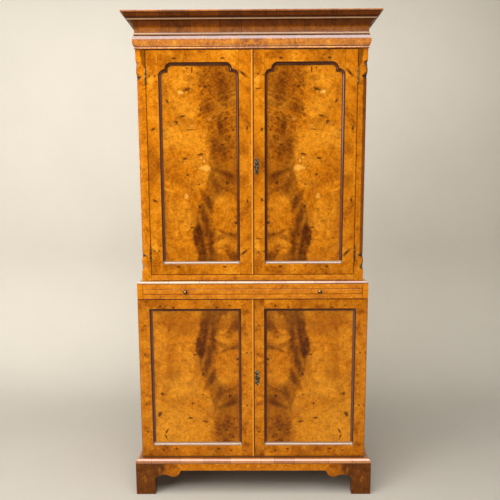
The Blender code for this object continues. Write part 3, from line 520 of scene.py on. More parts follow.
def burr_ground(n, vector, cloud_scale=24.0, warp=0.05, spacing=0.03, share=0.5):
    """The plain burr colour at a vector, with its pin knots."""
    figure = n.group("Burr Figure", {
        "Vector": vector, "Cloud Scale": cloud_scale, "Warp": warp, "Light": paint("burr_light"),
        "Middle": paint("burr_mid"), "Deep": paint("burr_deep"),
    })
    pips = n.group("Burr Pips", {"Vector": vector, "Spacing": spacing, "Share": share})
    pale = n.lay(figure["Color"], pips["Halo"], 0.14, paint("eye"))
    return n.lay(pale, pips["Core"], 0.6, paint("streak"))


def browned(n, base, share=1.0):
    """A colour under the shade of heartwood; the same browning also serves as painted shade on the right
    post, the frieze's top and the cornice's hollows.
    """
    return n.mix(share, base, paint("heart"), "MULTIPLY")


def shade_lines(n, base, z, levels, width=0.0016, strength=0.8):
    """Darkens a colour in thin lines at given heights: painted shade in the quirks and in the gaps between
    parts.
    """
    for level in levels:
        away = n.gap(z, level)
        base = n.lay(base, n.step(away, width, width * 0.35), strength, paint("joint_and_shade"))
    return base


def marked(n, base, vector, rag, marks, ink, strength, softness=0.45):
    """Lays marks, given as (x, y, angle in degrees, half length, half width), over a colour."""
    for x, y, angle, half_length, half_width in marks:
        mask = n.group("Veneer Mark", {
            "Vector": vector, "Centre": (x, y, 0.0), "Angle": math.radians(angle),
            "Half Length": half_length, "Half Width": half_width, "Rag": rag, "Softness": softness,
        })["Mask"]
        base = n.lay(base, mask, strength, ink)
    return base


def clouded(n, base, vector, rag, marks, strength, softness):
    """Lays brown marks over a colour, each a shade of what it covers."""
    for mark in marks:
        base = marked(n, base, vector, rag, [mark], browned(n, base), strength, softness)
    return base


# The panels' veneers are four-way matched about the middle of the cabinet and of the waist. Places on
# them are (distance from the middle, distance from the panel's edge by the waist), in the upper leaves;
# the lower leaves lie a little shifted.
MATCH_Z = (low("upper_left_door_panel").z + high("lower_left_door_panel").z) / 2
MATCH_START = low("upper_left_door_panel").z + PANEL_TONGUE - MATCH_Z
LOWER_SHIFT = (0.004, -0.048)
HEART_START, HEART_END = -0.05, 0.80
HEART_RANGE = (0.10, 0.26)
HEART_EDGE = (
    (-0.05, 0.203), (0.0, 0.2115), (0.03, 0.214), (0.07, 0.2265), (0.120, 0.239), (0.140, 0.2335),
    (0.157, 0.2245), (0.180, 0.2225), (0.215, 0.2125), (0.232, 0.205), (0.248, 0.19), (0.27, 0.179),
    (0.31, 0.1795), (0.335, 0.171), (0.385, 0.164), (0.45, 0.168), (0.50, 0.176), (0.55, 0.188),
    (0.60, 0.200), (0.70, 0.204), (0.80, 0.192),
)
WEDGE_WIDTH = (
    (-0.05, 0.034), (0.0, 0.030), (0.03, 0.028), (0.07, 0.036), (0.120, 0.045), (0.145, 0.030),
    (0.165, 0.015), (0.23, 0.008), (0.27, 0.010), (0.33, 0.012), (0.39, 0.010), (0.80, 0.008),
)
WEDGE_DEPTH = (
    (-0.05, 0.35), (0.0, 0.5), (0.03, 0.65), (0.12, 0.85), (0.145, 0.8), (0.165, 0.7), (0.2, 0.6),
    (0.228, 0.65), (0.25, 0.35), (0.30, 0.5), (0.335, 0.5), (0.38, 0.35), (0.42, 0.12), (0.54, 0.0),
    (0.59, 0.25), (0.70, 0.12), (0.80, 0.0),
)
HEART_DEPTH = (
    (-0.05, 0.5), (0.06, 0.42), (0.14, 0.45), (0.22, 0.42), (0.30, 0.45), (0.38, 0.46), (0.46, 0.46),
    (0.52, 0.36), (0.57, 0.32), (0.62, 0.44), (0.70, 0.46), (0.80, 0.46),
)
PANEL_DASHES = (
    (0.246, 0.674, -14, 0.017, 0.0062), (0.2275, 0.745, 90, 0.010, 0.003),
    (0.247, 0.752, 0, 0.004, 0.003), (0.200, 0.430, -12, 0.012, 0.0035), (0.261, 0.413, 0, 0.010, 0.005),
    (0.196, 0.597, 0, 0.005, 0.005), (0.2675, 0.574, -20, 0.010, 0.004), (0.290, 0.550, 40, 0.008, 0.006),
    (0.0975, 0.319, 0, 0.007, 0.006), (0.065, 0.163, -5, 0.009, 0.005), (0.206, 0.227, 60, 0.006, 0.0045),
    (0.238, 0.1445, -20, 0.006, 0.004), (0.325, 0.632, 60, 0.009, 0.004),
    (0.2375, 0.523, -4, 0.016, 0.002), (0.252, 0.3505, 0, 0.005, 0.0035),
    (0.207, 0.3135, 0, 0.004, 0.004), (0.180, 0.684, 40, 0.006, 0.004), (0.115, 0.465, 30, 0.007, 0.004),
    (0.360, 0.472, 62, 0.012, 0.0036), (0.386, 0.396, 60, 0.011, 0.007), (0.375, 0.31, 20, 0.006, 0.005),
    (0.363, 0.495, 110, 0.013, 0.0032),
)
# Pale eyes, each with a thin brown rim, and how pale each is
PANEL_EYES = (
    (0.273, 0.664, 20, 0.011, 0.008, 0.75), (0.1825, 0.376, 4, 0.019, 0.011, 0.65),
    (0.258, 0.268, 90, 0.011, 0.008, 0.6), (0.305, 0.545, 60, 0.009, 0.006, 0.2),
    (0.163, 0.562, 10, 0.009, 0.006, 0.25), (0.228, 0.536, 20, 0.010, 0.005, 0.35),
    (0.186, 0.404, 30, 0.007, 0.006, 0.5), (0.172, 0.412, 80, 0.006, 0.004, 0.3),
    (0.198, 0.416, 10, 0.006, 0.005, 0.5),
)
# Brown clouds of the heart
PANEL_CLOUDS = (
    (0.110, 0.690, 70, 0.045, 0.026), (0.105, 0.640, 60, 0.030, 0.013), (0.168, 0.607, 20, 0.026, 0.020),
    (0.122, 0.520, 85, 0.040, 0.010), (0.148, 0.420, 80, 0.045, 0.012), (0.115, 0.360, 22, 0.040, 0.012),
    (0.132, 0.300, 60, 0.034, 0.014), (0.098, 0.290, 30, 0.030, 0.010), (0.190, 0.195, 72, 0.060, 0.014),
    (0.178, 0.255, 60, 0.040, 0.012), (0.158, 0.035, 77, 0.080, 0.015), (0.163, 0.070, 82, 0.034, 0.010),
    (0.186, 0.165, 76, 0.050, 0.014), (0.168, 0.240, 62, 0.045, 0.014), (0.150, 0.330, 75, 0.040, 0.012),
    (0.080, 0.340, 40, 0.040, 0.016), (0.190, 0.060, 80, 0.050, 0.008),
    (0.182, -0.005, 80, 0.045, 0.026), (0.130, 0.460, 60, 0.050, 0.020), (0.158, 0.100, 80, 0.030, 0.010),
)
# Paler and deeper zones of the golden side, and those that only the lower leaves have
PANEL_GLOWS = (
    (0.310, 0.485, 5, 0.075, 0.036), (0.255, 0.480, 20, 0.060, 0.030), (0.285, 0.620, 10, 0.055, 0.034),
    (0.260, 0.715, 10, 0.060, 0.024), (0.225, 0.395, 30, 0.040, 0.022), (0.300, 0.190, 80, 0.060, 0.030),
)
PANEL_DEEPS = (
    (0.325, 0.400, 10, 0.050, 0.030), (0.300, 0.335, 30, 0.050, 0.022), (0.245, 0.300, 70, 0.050, 0.018),
    (0.255, 0.560, 15, 0.050, 0.008), (0.330, 0.655, 80, 0.080, 0.008), (0.270, 0.040, 20, 0.070, 0.024),
    (0.225, 0.180, 80, 0.060, 0.012), (0.345, 0.230, 80, 0.120, 0.014),
)
LOWER_GLOWS = ((0.29, 0.28, 0, 0.08, 0.05), (0.32, 0.41, 0, 0.08, 0.06))
LOWER_DEEPS = ((0.305, 0.005, 0, 0.085, 0.045), (0.326, 0.225, 60, 0.03, 0.022))
# The golden lobes, and brown spots on them
PANEL_LOBES = ((0.096, 0.198, 98, 0.082, 0.062), (0.104, 0.068, 4, 0.046, 0.030))
LOBE_SPOTS = (
    (0.075, 0.115, 10, 0.020, 0.008), (0.115, 0.126, 25, 0.016, 0.006), (0.080, 0.040, 35, 0.030, 0.013),
    (0.062, 0.010, 30, 0.030, 0.016), (0.095, 0.070, 10, 0.012, 0.006),
)
CURL_CENTRE, CURL_REACH = (0.163, 0.562, 0.0), 0.036
EYE_RIM = 0.004


def heart_curve(n, v, points, lowest=0.0, highest=1.0):
    """A value along the panel's length, read from points of (place, value)."""
    span = HEART_END - HEART_START
    share = n.math("DIVIDE", n.minus(v, HEART_START), span, clamp=True)
    line = [
        ((place - HEART_START) / span, (value - lowest) / (highest - lowest)) for place, value in points
    ]
    return n.spread(n.curve(share, line), lowest, highest)


def heart_inside(n, u, v, flat, broken):
    """How far inside the heart's swaying edge a place lies."""
    fine_sway = n.product(n.minus(n.noise(flat, 60.0, 4.0, 0.6), 0.5), 0.016)
    loose = n.spread(n.step(v, 0.30, 0.46), 0.015, 0.11)
    sway = n.total(fine_sway, n.product(n.minus(broken, 0.5), loose))
    return n.total(heart_curve(n, v, HEART_EDGE, *HEART_RANGE), sway, n.product(u, -1.0))


def golden_burr(n, flat, rag, lower):
    """The golden ground of the panels, with its paler and deeper zones and a fine mottle."""
    base = n.mix(0.15, burr_ground(n, flat, 14.0, 0.06, 0.022, 0.5), paint("burr_mid"))
    glow = n.step(n.noise(flat, 9.0, 3.0, 0.6), 0.42, 0.68)
    base = n.lay(base, glow, 0.46, paint("burr_light"))
    patch = n.noise(n.vector("ADD", flat, (3.1, 1.7, 0.0)), 15.0, 4.0, 0.62, 0.5)
    base = n.lay(base, n.step(patch, 0.5, 0.34), 0.38, browned(n, base))
    for marks, ink, strength in (
        (PANEL_GLOWS, "burr_light", 0.3),
        (PANEL_DEEPS, "burr_deep", 0.4),
        (LOWER_GLOWS, "burr_light", n.product(lower, 0.55)),
        (LOWER_DEEPS, "burr_deep", n.product(lower, 0.5)),
    ):
        base = marked(n, base, flat, rag, marks, paint(ink), strength, 0.8)
    mottle = n.step(n.noise(flat, 54.0, 4.0, 0.68, 0.9), 0.56, 0.34)
    return n.lay(base, mottle, n.spread(lower, 0.66, 0.5), browned(n, base))


def feathers(n, u, v, flat, rag, inside):
    """Fine slanting lines, strongest in the far part of the heart."""
    tilt = n.vector("ADD", flat, n.combine(0.0, n.product(u, 0.45), 0.0))
    wavy = n.vector("MULTIPLY", tilt, (0.22, 1.0, 1.0))
    wavy = n.vector("ADD", wavy, n.scaled(n.noise_colour(flat, 28.0, 2.0), 0.02))
    feather = n.step(n.noise(wavy, 130.0, 2.0, 0.6), 0.56, 0.40)
    curly = n.product(n.step(inside, -0.05, 0.03), n.step(v, 0.36, 0.46))
    return n.product(feather, n.step(rag, 0.36, 0.58), n.spread(curly, 0.22, 0.9))


def heart_brown(n, v, broken, inside, lower):
    """How brown the heart is; its edge frays in the far part of the lower leaves."""
    frayed = n.product(lower, n.step(v, 0.28, 0.40))
    edge = n.step(inside, n.spread(frayed, -0.016, -0.03), n.spread(frayed, 0.026, 0.065))
    depth = n.product(edge, heart_curve(n, v, HEART_DEPTH), n.spread(broken, 0.1, 1.9))
    return n.math("MINIMUM", depth, 1.0)


def curl_rings(n, flat, broken):
    """Broken rings round the curl in the heart."""
    reach = n.length(n.vector("SUBTRACT", flat, CURL_CENTRE))
    rings = n.math("SINE", n.total(n.product(reach, 900.0), n.product(broken, 16.0)))
    return n.product(n.step(reach, CURL_REACH, 0.012), n.step(rings, 0.2, 0.9), 0.4)


def dark_wedge(n, v, broken, inside):
    """The dark streak just inside the heart's edge."""
    width = heart_curve(n, v, WEDGE_WIDTH)
    within = n.step(inside, n.total(width, 0.007), n.minus(width, 0.007))
    wedge = n.product(n.step(inside, -0.005, 0.009), within, heart_curve(n, v, WEDGE_DEPTH))
    return n.math("MINIMUM", n.product(wedge, n.spread(broken, 0.3, 1.7)), 1.0)


def eyed(n, base, flat, lower):
    """Lays the pale eyes, with their rims, and the dark dashes over the panels' colour."""
    rag = n.spread(n.noise(flat, 105.0, 2.0, 0.55), -0.5, 1.5)
    speckle = n.spread(n.noise(flat, 190.0, 2.0, 0.6), 0.1, 1.7)
    shown = n.product(n.spread(lower, 1.0, 0.15), speckle)
    for x, y, angle, half_length, half_width, strength in PANEL_EYES:
        rim = (x, y, angle, half_length + EYE_RIM, half_width + EYE_RIM)
        eye = (x, y, angle, half_length, half_width)
        base = marked(n, base, flat, rag, [rim], paint("burr_deep"), 0.5, 0.4)
        base = marked(n, base, flat, rag, [eye], paint("eye"), n.product(shown, strength), 0.4)
    return marked(n, base, flat, rag, PANEL_DASHES, paint("knot_and_notch_shade"), 0.85, 0.5)


def panel_veneer():
    """Four-way matched burr panels: golden outside, a browner heart inside a dark streak."""
    made, n, shader = start_finish("panel_veneer", COAT)
    x, _, z = n.axes()
    lower = n.under(z, MATCH_Z)
    u = n.total(n.absolute(x), n.product(lower, LOWER_SHIFT[0]))
    v = n.total(n.gap(z, MATCH_Z), -MATCH_START, n.product(lower, LOWER_SHIFT[1]))
    flat = n.combine(u, v, 0.0)
    rag = n.noise(flat, 46.0, 4.0, 0.65)
    broken = n.noise(flat, 38.0, 4.0, 0.68, 0.6)
    inside = heart_inside(n, u, v, flat, broken)
    golden = golden_burr(n, flat, rag, lower)
    shade = browned(n, golden)
    deep_shade = browned(n, shade)
    base = n.mix(feathers(n, u, v, flat, rag, inside), golden, shade)
    base = n.mix(heart_brown(n, v, broken, inside, lower), base, deep_shade)
    base = clouded(n, base, flat, rag, PANEL_CLOUDS, 0.65, 0.7)
    base = marked(n, base, flat, rag, PANEL_LOBES, golden, 0.75, 0.14)
    base = clouded(n, base, flat, rag, LOBE_SPOTS, 0.75, 0.6)
    base = n.mix(curl_rings(n, flat, broken), base, shade)
    darkest = n.mix(0.4, deep_shade, browned(n, deep_shade))
    base = n.mix(dark_wedge(n, v, broken, inside), base, darkest)
    lacquered(n, shader, eyed(n, base, flat, lower))
    return made


# Marks on the door frames: (x, height from the door's middle, angle, half length, half width),
# mirrored above and below that middle. Rail marks are measured from the panel's own middle.
UPPER_STILE_MARKS = (
    (-0.0332, 0.341, -38, 0.019, 0.0056), (0.371, 0.343, -46, 0.020, 0.0056),
    (-0.388, 0.334, 0, 0.004, 0.004), (-0.367, 0.334, 0, 0.004, 0.0035), (0.024, 0.340, 0, 0.004, 0.004),
    (0.0455, 0.336, 0, 0.004, 0.0035), (0.024, 0.287, 0, 0.0115, 0.0025), (-0.362, 0.313, 0, 0.006, 0.0025),
    (-0.379, 0.137, 30, 0.010, 0.005), (0.038, 0.134, 60, 0.009, 0.005), (0.387, 0.138, 80, 0.011, 0.005),
    (-0.018, 0.140, 80, 0.009, 0.004),
)
UPPER_RAIL_MARKS = ((0.092, 0.398, 0, 0.009, 0.0045), (0.034, 0.412, 0, 0.003, 0.002))
LOWER_STILE_MARKS = (
    (-0.432, 0.224, 40, 0.006, 0.003), (-0.434, 0.105, 0, 0.004, 0.004), (-0.023, 0.111, 0, 0.004, 0.004),
    (0.024, 0.224, 40, 0.006, 0.003), (0.431, 0.111, 0, 0.004, 0.004), (0.020, 0.105, 0, 0.004, 0.004),
)
LOWER_RAIL_MARKS = ((0.0865, 0.298, 0, 0.006, 0.0045), (0.138, 0.305, 20, 0.004, 0.004))
# Laid over the frames' veneer, which is a little cooler than the panels'
FRAME_TINT = (0.92, 0.91, 0.86, 1.0)


def frame_burr(stage, seed):
    """Door frames: slip-matched stiles and book-matched rails, each mirrored about mid-height."""
    made, n, shader = start_finish(f"{stage}_frame_burr", COAT)
    panel, door = f"{stage}_right_door_panel", f"{stage}_right_door_frame"
    near, far = low(panel).x + PANEL_TONGUE, high(panel).x - PANEL_TONGUE
    middle = (low(door).z + high(door).z) / 2
    x, y, z = n.axes()
    side = n.absolute(x)
    rise = n.gap(z, middle)
    across = n.gap(side, (near + far) / 2)
    half = (far - near) / 2
    rail = n.under(across, half)
    slip = n.total(x, n.product(n.under(x, 0.005), near + far))
    stile_place = n.combine(slip, rise, n.total(y, seed))
    rail_place = n.combine(n.total(x, 1.7), rise, n.total(y, seed + 0.7))
    veneer = n.choose_vector(rail, stile_place, rail_place)
    base = burr_ground(n, veneer, 13.0, 0.05, 0.02, 0.5)
    tone = n.noise(n.vector("MULTIPLY", veneer, (1.0, 0.6, 1.0)), 7.0, 2.0)
    shaded = browned(n, base)
    base = n.lay(base, n.step(tone, 0.56, 0.3), 0.55, shaded)
    blotch = n.noise(veneer, 22.0, 4.0, 0.6, 0.5)
    base = n.lay(base, n.step(blotch, 0.5, 0.34), 0.4, shaded)
    base = n.lay(base, n.step(blotch, 0.54, 0.7), 0.4, paint("burr_light"))
    rag = n.noise(veneer, 70.0, 3.0, 0.6)
    stile_marks, rail_marks = {
        "upper": (UPPER_STILE_MARKS, UPPER_RAIL_MARKS), "lower": (LOWER_STILE_MARKS, LOWER_RAIL_MARKS),
    }[stage]
    for way, marks in ((x, stile_marks), (across, rail_marks)):
        place = n.combine(way, rise, 0.0)
        cores = [(*mark[:3], mark[3] * 0.6, mark[4] * 0.5) for mark in marks]
        base = marked(n, base, place, rag, marks, paint("streak"), 0.7, 0.6)
        base = marked(n, base, place, rag, cores, paint("knot_and_notch_shade"), 0.8)
    seam = n.step(n.gap(across, half), 0.0012, 0.0004)
    base = n.lay(base, seam, 0.4, paint("joint_and_shade"))
    # Painted shade: a dark line round each door's outer edges and along its meeting edge, where the gaps
    # lie.
    outer, meeting = high(door).x, low(door).x
    to_side = n.minus(outer, side)
    to_meeting = n.minus(n.gap(x, meeting - 0.001), 0.001)
    to_end = n.minus(high(door).z - middle, rise)
    to_edge = n.math("MINIMUM", n.math("MINIMUM", to_side, to_meeting), to_end)
    base = n.lay(base, n.step(to_edge, 0.0032, 0.0008), 0.7, paint("joint_and_shade"))
    lacquered(n, shader, n.mix(1.0, base, FRAME_TINT, "MULTIPLY"))
    return made


def side_burr():
    """Outside of the carcase sides, with plain boards inside."""
    made, n, shader = start_finish("side_burr", COAT, coat_roughness=0.16)
    x, y, z = n.axes()
    upper = n.over(z, low("upper_side_left").z - 0.001)
    inner = n.choose(upper, X_LOWER_INNER, X_UPPER_INNER)
    plain = n.under(n.absolute(x), n.total(inner, 0.001))
    leaf = n.combine(n.gap(y, 0.012), z, 3.1)
    base = burr_ground(n, leaf, 20.0, 0.06, 0.034, 0.5)
    base = n.mix(plain, base, plain_wood(n, (1.0, 1.0, 0.06)))
    lacquered(n, shader, base)
    return made


def plain_wood(n, stretch):
    """The colour of straight-grained boards, drawn out along one axis."""
    grain = n.group("Board Grain", {"Vector": n.place(), "Stretch": stretch})
    return n.mix(n.step(grain["Figure"], 0.34, 0.74), paint("carcase_deep"), paint("carcase"))


# Heights of the boards' joints by the slide, where painted shade lines lie, and the split between the
# stages
SLIDE_LEVELS = (
    low("lower_dust_board").z, high("lower_dust_board").z, low("lower_top").z, high("lower_top").z,
)
Z_WAIST_SPLIT = (high("lower_top").z + low("upper_bottom").z) / 2


def lipped_board():
    """Carcase boards that run across, with a burr lipping on their front edges."""
    made, n, shader = start_finish("lipped_board", COAT, coat_weight=0.6)
    x, y, z = n.axes()
    front = n.choose(n.over(z, Z_WAIST_SPLIT), Y_LOWER_FRONT, Y_UPPER_FRONT)
    lip = n.under(y, n.total(front, 0.004))
    base = burr_ground(n, n.combine(x, n.product(z, 1.6), 5.2), 20.0, 0.04, 0.03, 0.4)
    # Painted shade lines in the gaps by the slide.
    base = shade_lines(n, base, z, SLIDE_LEVELS, 0.0014, 0.7)
    base = n.mix(lip, plain_wood(n, (0.06, 1.0, 1.0)), base)
    lacquered(n, shader, base, 0.2)
    return made


def inside_wood():
    """Boards out of sight: backs, bottom, top, shelf, dust cover, slide board and rear of the base."""
    made, n, shader = start_finish("inside_wood")
    lacquered(n, shader, plain_wood(n, (0.06, 1.0, 1.0)), 0.5)
    return made


# Brown wedge at the head of each post, by the door: its depth below the frieze and its width
POST_WEDGE = (0.074, 0.021)
# Painted shade in the cuts where the chamfers stop, as marks of (distance from the outer corner, height,
# ...)
POST_NOTCH_SHADES = ((0.003, 1.669, 10, 0.016, 0.0065), (0.003, 0.9875, -10, 0.013, 0.0055))


def post_burr():
    """Pilasters: burr that darkens in a wedge beside the doors' heads, with painted shade on the right
    post, most on its chamfer, and in the cuts where the chamfers stop.
    """
    made, n, shader = start_finish("post_burr", COAT, coat_weight=0.06)
    x, y, z = n.axes()
    side = n.absolute(x)
    leaf = n.combine(side, y, z)
    base = burr_ground(n, leaf, 30.0, 0.05, 0.03, 0.5)
    shaded = browned(n, base)
    blotch = n.step(n.noise(leaf, 42.0, 4.0, 0.65, 0.8), 0.55, 0.35)
    # Painted shade: the right post is browned, its chamfer most, as though lit from the left.
    canted = n.step(n.minus(y, Y_UPPER_FRONT), 0.001, 0.003)
    right = n.over(x, 0.0)
    right_side_shade = n.product(right, n.spread(canted, 0.25, 0.9))
    base = n.mix(n.math("MAXIMUM", n.product(blotch, 0.5), right_side_shade), base, shaded)
    drop, width = POST_WEDGE
    down = n.math("DIVIDE", n.minus(high("pilaster_left").z, z), drop)
    reach = n.product(n.minus(1.0, n.math("POWER", n.math("MAXIMUM", down, 0.0), 3.0)), width)
    sway = n.product(n.noise(leaf, 70.0, 2.0), 0.010)
    wedge = n.step(n.total(n.minus(side, X_PILASTER), sway, n.product(reach, -1.0)), 0.004, 0.0)
    base = n.lay(base, wedge, 0.7, paint("streak"))
    # Painted shade in the cuts where the chamfers stop, kept to the fronts of the posts.
    corner = n.combine(n.minus(X_UPPER, side), z, 0.0)
    at_front = n.step(n.minus(y, Y_UPPER_FRONT), 0.022, 0.016)
    rag = n.noise(leaf, 160.0, 2.0)
    base = marked(n, base, corner, rag, POST_NOTCH_SHADES, paint("knot_and_notch_shade"), at_front)
    lacquered(n, shader, base)
    return made


# Red-brown burr at the feet: how far it reaches in from each corner, and how that grows with height
FOOT_REACH = 0.092
FOOT_SLOPE = 0.22
SPUR_REACH = 0.19


def foot_burr():
    """Bracket base: dark burr at the feet, golden spurs and apron between them."""
    made, n, shader = start_finish("foot_burr", COAT)
    x, y, z = n.axes()
    side = n.absolute(x)
    on_side = n.over(side, low("base_right").x)
    along_side = n.math("MINIMUM", n.minus(y, Y_BASE_FRONT), n.minus(Y_BACK, y))
    corner = n.choose(on_side, n.minus(X_BASE, side), along_side)
    leaf = n.combine(side, y, z)
    sway = n.product(n.minus(n.noise(leaf, 40.0, 3.0), 0.5), 0.03)
    edge = n.total(FOOT_REACH, n.product(z, FOOT_SLOPE), sway)
    dark = n.step(n.minus(corner, edge), 0.012, -0.008)
    base = burr_ground(n, leaf, 34.0, 0.04, 0.026, 0.6)
    blotch = n.step(n.noise(leaf, 48.0, 4.0, 0.68, 0.8), 0.54, 0.34)
    base = n.lay(base, blotch, 0.6, browned(n, base))
    mottle = n.noise(n.vector("MULTIPLY", leaf, (1.0, 1.0, 0.7)), 46.0, 4.0, 0.6, 0.8)
    brown = n.mix(n.step(mottle, 0.28, 0.6), paint("streak"), paint("foot"))
    brown = n.lay(brown, n.step(mottle, 0.58, 0.72), 0.5, paint("burr_mid"))
    spur = n.step(corner, SPUR_REACH, SPUR_REACH - 0.05)
    base = n.lay(base, spur, 0.6, browned(n, base))
    lacquered(n, shader, n.mix(dark, base, brown))
    return made


def banded(name, half_width, y_front, light, dark, run, seed, variety, levels, dull=(), pale=()):
    """A moulding veneered in cross-grained lengths, along its front and its sides. Spans given as
    (height, half height) are dull and darkened as painted shade, or paled as a painted highlight; thin
    lines of painted shade lie at the levels."""
    made, n, shader = start_finish(name, HIGH_GLOSS)
    x, y, z = n.axes()
    out_side = n.minus(n.absolute(x), half_width)
    out_front = n.minus(y_front, y)
    on_side = n.over(out_side, out_front)
    along = n.choose(on_side, x, n.total(y, 2.0))
    band = n.group("Cross Banding", {"Along": along, "Vector": n.place(), "Length": run, "Seed": seed})
    shade = n.total(n.product(band["Tone"], variety), n.product(band["Grain"], 1.15 - variety))
    base = n.mix(n.step(shade, 0.25, 0.85), paint(dark), paint(light))
    base = n.lay(base, band["Joint"], 0.6, paint("joint_and_shade"))
    # Painted shade: these spans are browned, and their coat is thinned.
    if dull:
        gloss = 0.7
        for level, half in dull:
            away = n.gap(z, level)
            bright = n.step(away, half * 0.4, half)
            base = n.mix(bright, browned(n, base, 0.85), base)
            gloss = n.product(n.step(away, half * 0.8, half), gloss)
        n.feed(shader.inputs["Coat Weight"], gloss)
        shader.inputs["Specular IOR Level"].default_value = 0.15
    # Painted highlight: these spans are paled.
    for level, half in pale:
        away = n.gap(z, level)
        base = n.lay(base, n.step(away, half, half * 0.6), 0.6, paint("waist_light_and_highlight"))
    # Painted shade lines at the quirks and joins.
    base = shade_lines(n, base, z, levels)
    lacquered(n, shader, base, 0.2, 0.0003)
    return made


def frieze_burr():
    """Cushion frieze and its bead, in plain burr, darkened under the top's highlight as painted light, with
    painted shade lines at its quirks.
    """
    made, n, shader = start_finish("frieze_burr", HIGH_GLOSS, coat_weight=0.8, coat_roughness=0.09)
    x, y, z = n.axes()
    leaf = n.combine(n.absolute(x), y, z)
    base = burr_ground(n, leaf, 20.0, 0.05, 0.03, 0.6)
    blotch = n.noise(leaf, 34.0, 4.0, 0.68, 0.8)
    base = n.lay(base, n.step(blotch, 0.52, 0.34), 0.6, browned(n, base))
    base = n.lay(base, n.step(blotch, 0.52, 0.68), 0.6, paint("burr_light"))
    bottom, top = low("frieze").z, high("frieze").z
    # Painted light: the top of the cushion is darkened where its highlight falls, so that the highlight
    # reads grey rather than orange.
    overlay = n.step(z, top - 0.022, top - 0.008)
    base = n.mix(overlay, base, browned(n, browned(n, base), 0.6))
    # Painted shade lines at the bead's foot and head and at the top.
    base = shade_lines(n, base, z, (bottom, bottom + FRIEZE_BEAD, top))
    lacquered(n, shader, base, 0.22)
    return made


def planted_wood():
    """Dark straight-grained mouldings round the panels, with a painted highlight on the bottom members and
    a faint painted sheen on the outer ones.
    """
    made, n, shader = start_finish(
        "planted_wood", HIGH_GLOSS, specular_ior_level=0.2, coat_roughness=0.12, coat_ior=2.3
    )
    x, y, z = n.axes()
    upper = n.over(z, MATCH_Z)
    front = n.choose(upper, Y_LOWER_FRONT, Y_UPPER_FRONT)
    inner = n.step(n.minus(y, front), 0.0010, 0.0048)
    grain = n.group("Board Grain", {"Vector": n.place(), "Stretch": (0.5, 1.0, 0.3)})
    wood = n.mix(n.step(grain["Figure"], 0.3, 0.75), paint("planted_deep"), paint("planted"))
    sills = [low(f"{stage}_left_door_panel").z + PANEL_TONGUE for stage in ("lower", "upper")]
    sill = n.choose(upper, *sills)
    outsides = [high(f"{stage}_right_door_panel").x - PANEL_TONGUE for stage in ("lower", "upper")]
    to_outside = n.minus(n.choose(upper, *outsides), n.absolute(x))
    bottom = n.step(n.minus(z, sill), 0.014, 0.010)
    outer = n.step(to_outside, 0.016, 0.012)
    coat = n.math("MAXIMUM", n.spread(outer, 0.08, 0.26), n.product(bottom, 0.7))
    n.feed(shader.inputs["Coat Weight"], coat)
    wood = n.mix(inner, paint("planted_deep"), wood)
    # Painted sheen: a faint reddish tint in the outer members' hollows, which reads as mauve under their
    # reflection.
    wood = n.mix(n.product(outer, inner, 0.12), wood, paint("waist_dark_and_highlight"))
    # Painted highlight: the bottom members are paled under the light above.
    lacquered(n, shader, n.lay(wood, bottom, 0.45, paint("waist_light_and_highlight")), 0.2, 0.0003)
    return made


def bead_wood():
    """Pale beads on the meeting edges."""
    made, n, shader = start_finish("bead_wood", COAT)
    grain = n.group("Board Grain", {"Vector": n.place()})
    base = n.mix(n.step(grain["Figure"], 0.3, 0.7), paint("band_light"), paint("burr_light"))
    lacquered(n, shader, base, 0.2, 0.0003)
    return made


def metal(name, bright, film, tarnish):
    """Handled brass or steel under a dull film."""
    made, n, shader = start_finish(name, metallic=1.0)
    overlay = n.group("Aged Metal", {"Vector": n.place(), "Tarnish": tarnish})
    n.feed(shader.inputs["Base Color"], n.mix(overlay["Film"], paint(bright), paint(film)))
    n.feed(shader.inputs["Roughness"], overlay["Roughness"])
    relief = n.add("ShaderNodeBump", {"Strength": 0.3, "Distance": 0.0003, "Height": overlay["Height"]})
    n.feed(shader.inputs["Normal"], relief.outputs[0])
    return made


def clear_glass():
    """Clear glass with faint smears."""
    made, n, shader = start_finish(
        "clear_glass", transmission_weight=1.0, ior=1.5, base_color=paint("glass")
    )
    smears = n.noise(n.vector("MULTIPLY", n.place(), (1.0, 3.0, 1.0)), 18.0, 3.0)
    n.feed(shader.inputs["Roughness"], n.spread(smears, 0.0, 0.05))
    return made


def cornice_quirks():
    """Heights of the cornice's quirks, where lines of painted shade lie."""
    hollow = low("cornice").z + CORNICE_BEAD + CORNICE_QUIRK / 2
    fillet = hollow + CORNICE_QUIRK / 2 + CORNICE_CAVETTO
    return low("cornice").z, hollow, fillet, fillet + CORNICE_FILLET, Z_TOP - CORNICE_TOP_FILLET


def cornice_hollows():
    """The head of the cavetto, the hollow of the ogee and its foot, as (height, half height), which are
    painted in shade.
    """
    _, hollow, fillet, ogee, top = cornice_quirks()
    deep, rise = (fillet - hollow) * 0.4, top - ogee
    return (fillet - deep * 0.6, deep), (ogee + rise * 0.45, rise * 0.6), (ogee + rise * 0.14, rise * 0.3)


def cornice_fillets():
    """The bead and the middle fillet, as (height, half height), which are paled as a painted highlight."""
    bottom, hollow, fillet, ogee, _ = cornice_quirks()
    return tuple(((a + b) / 2, (b - a) / 2) for a, b in ((bottom, hollow), (fillet, ogee)))


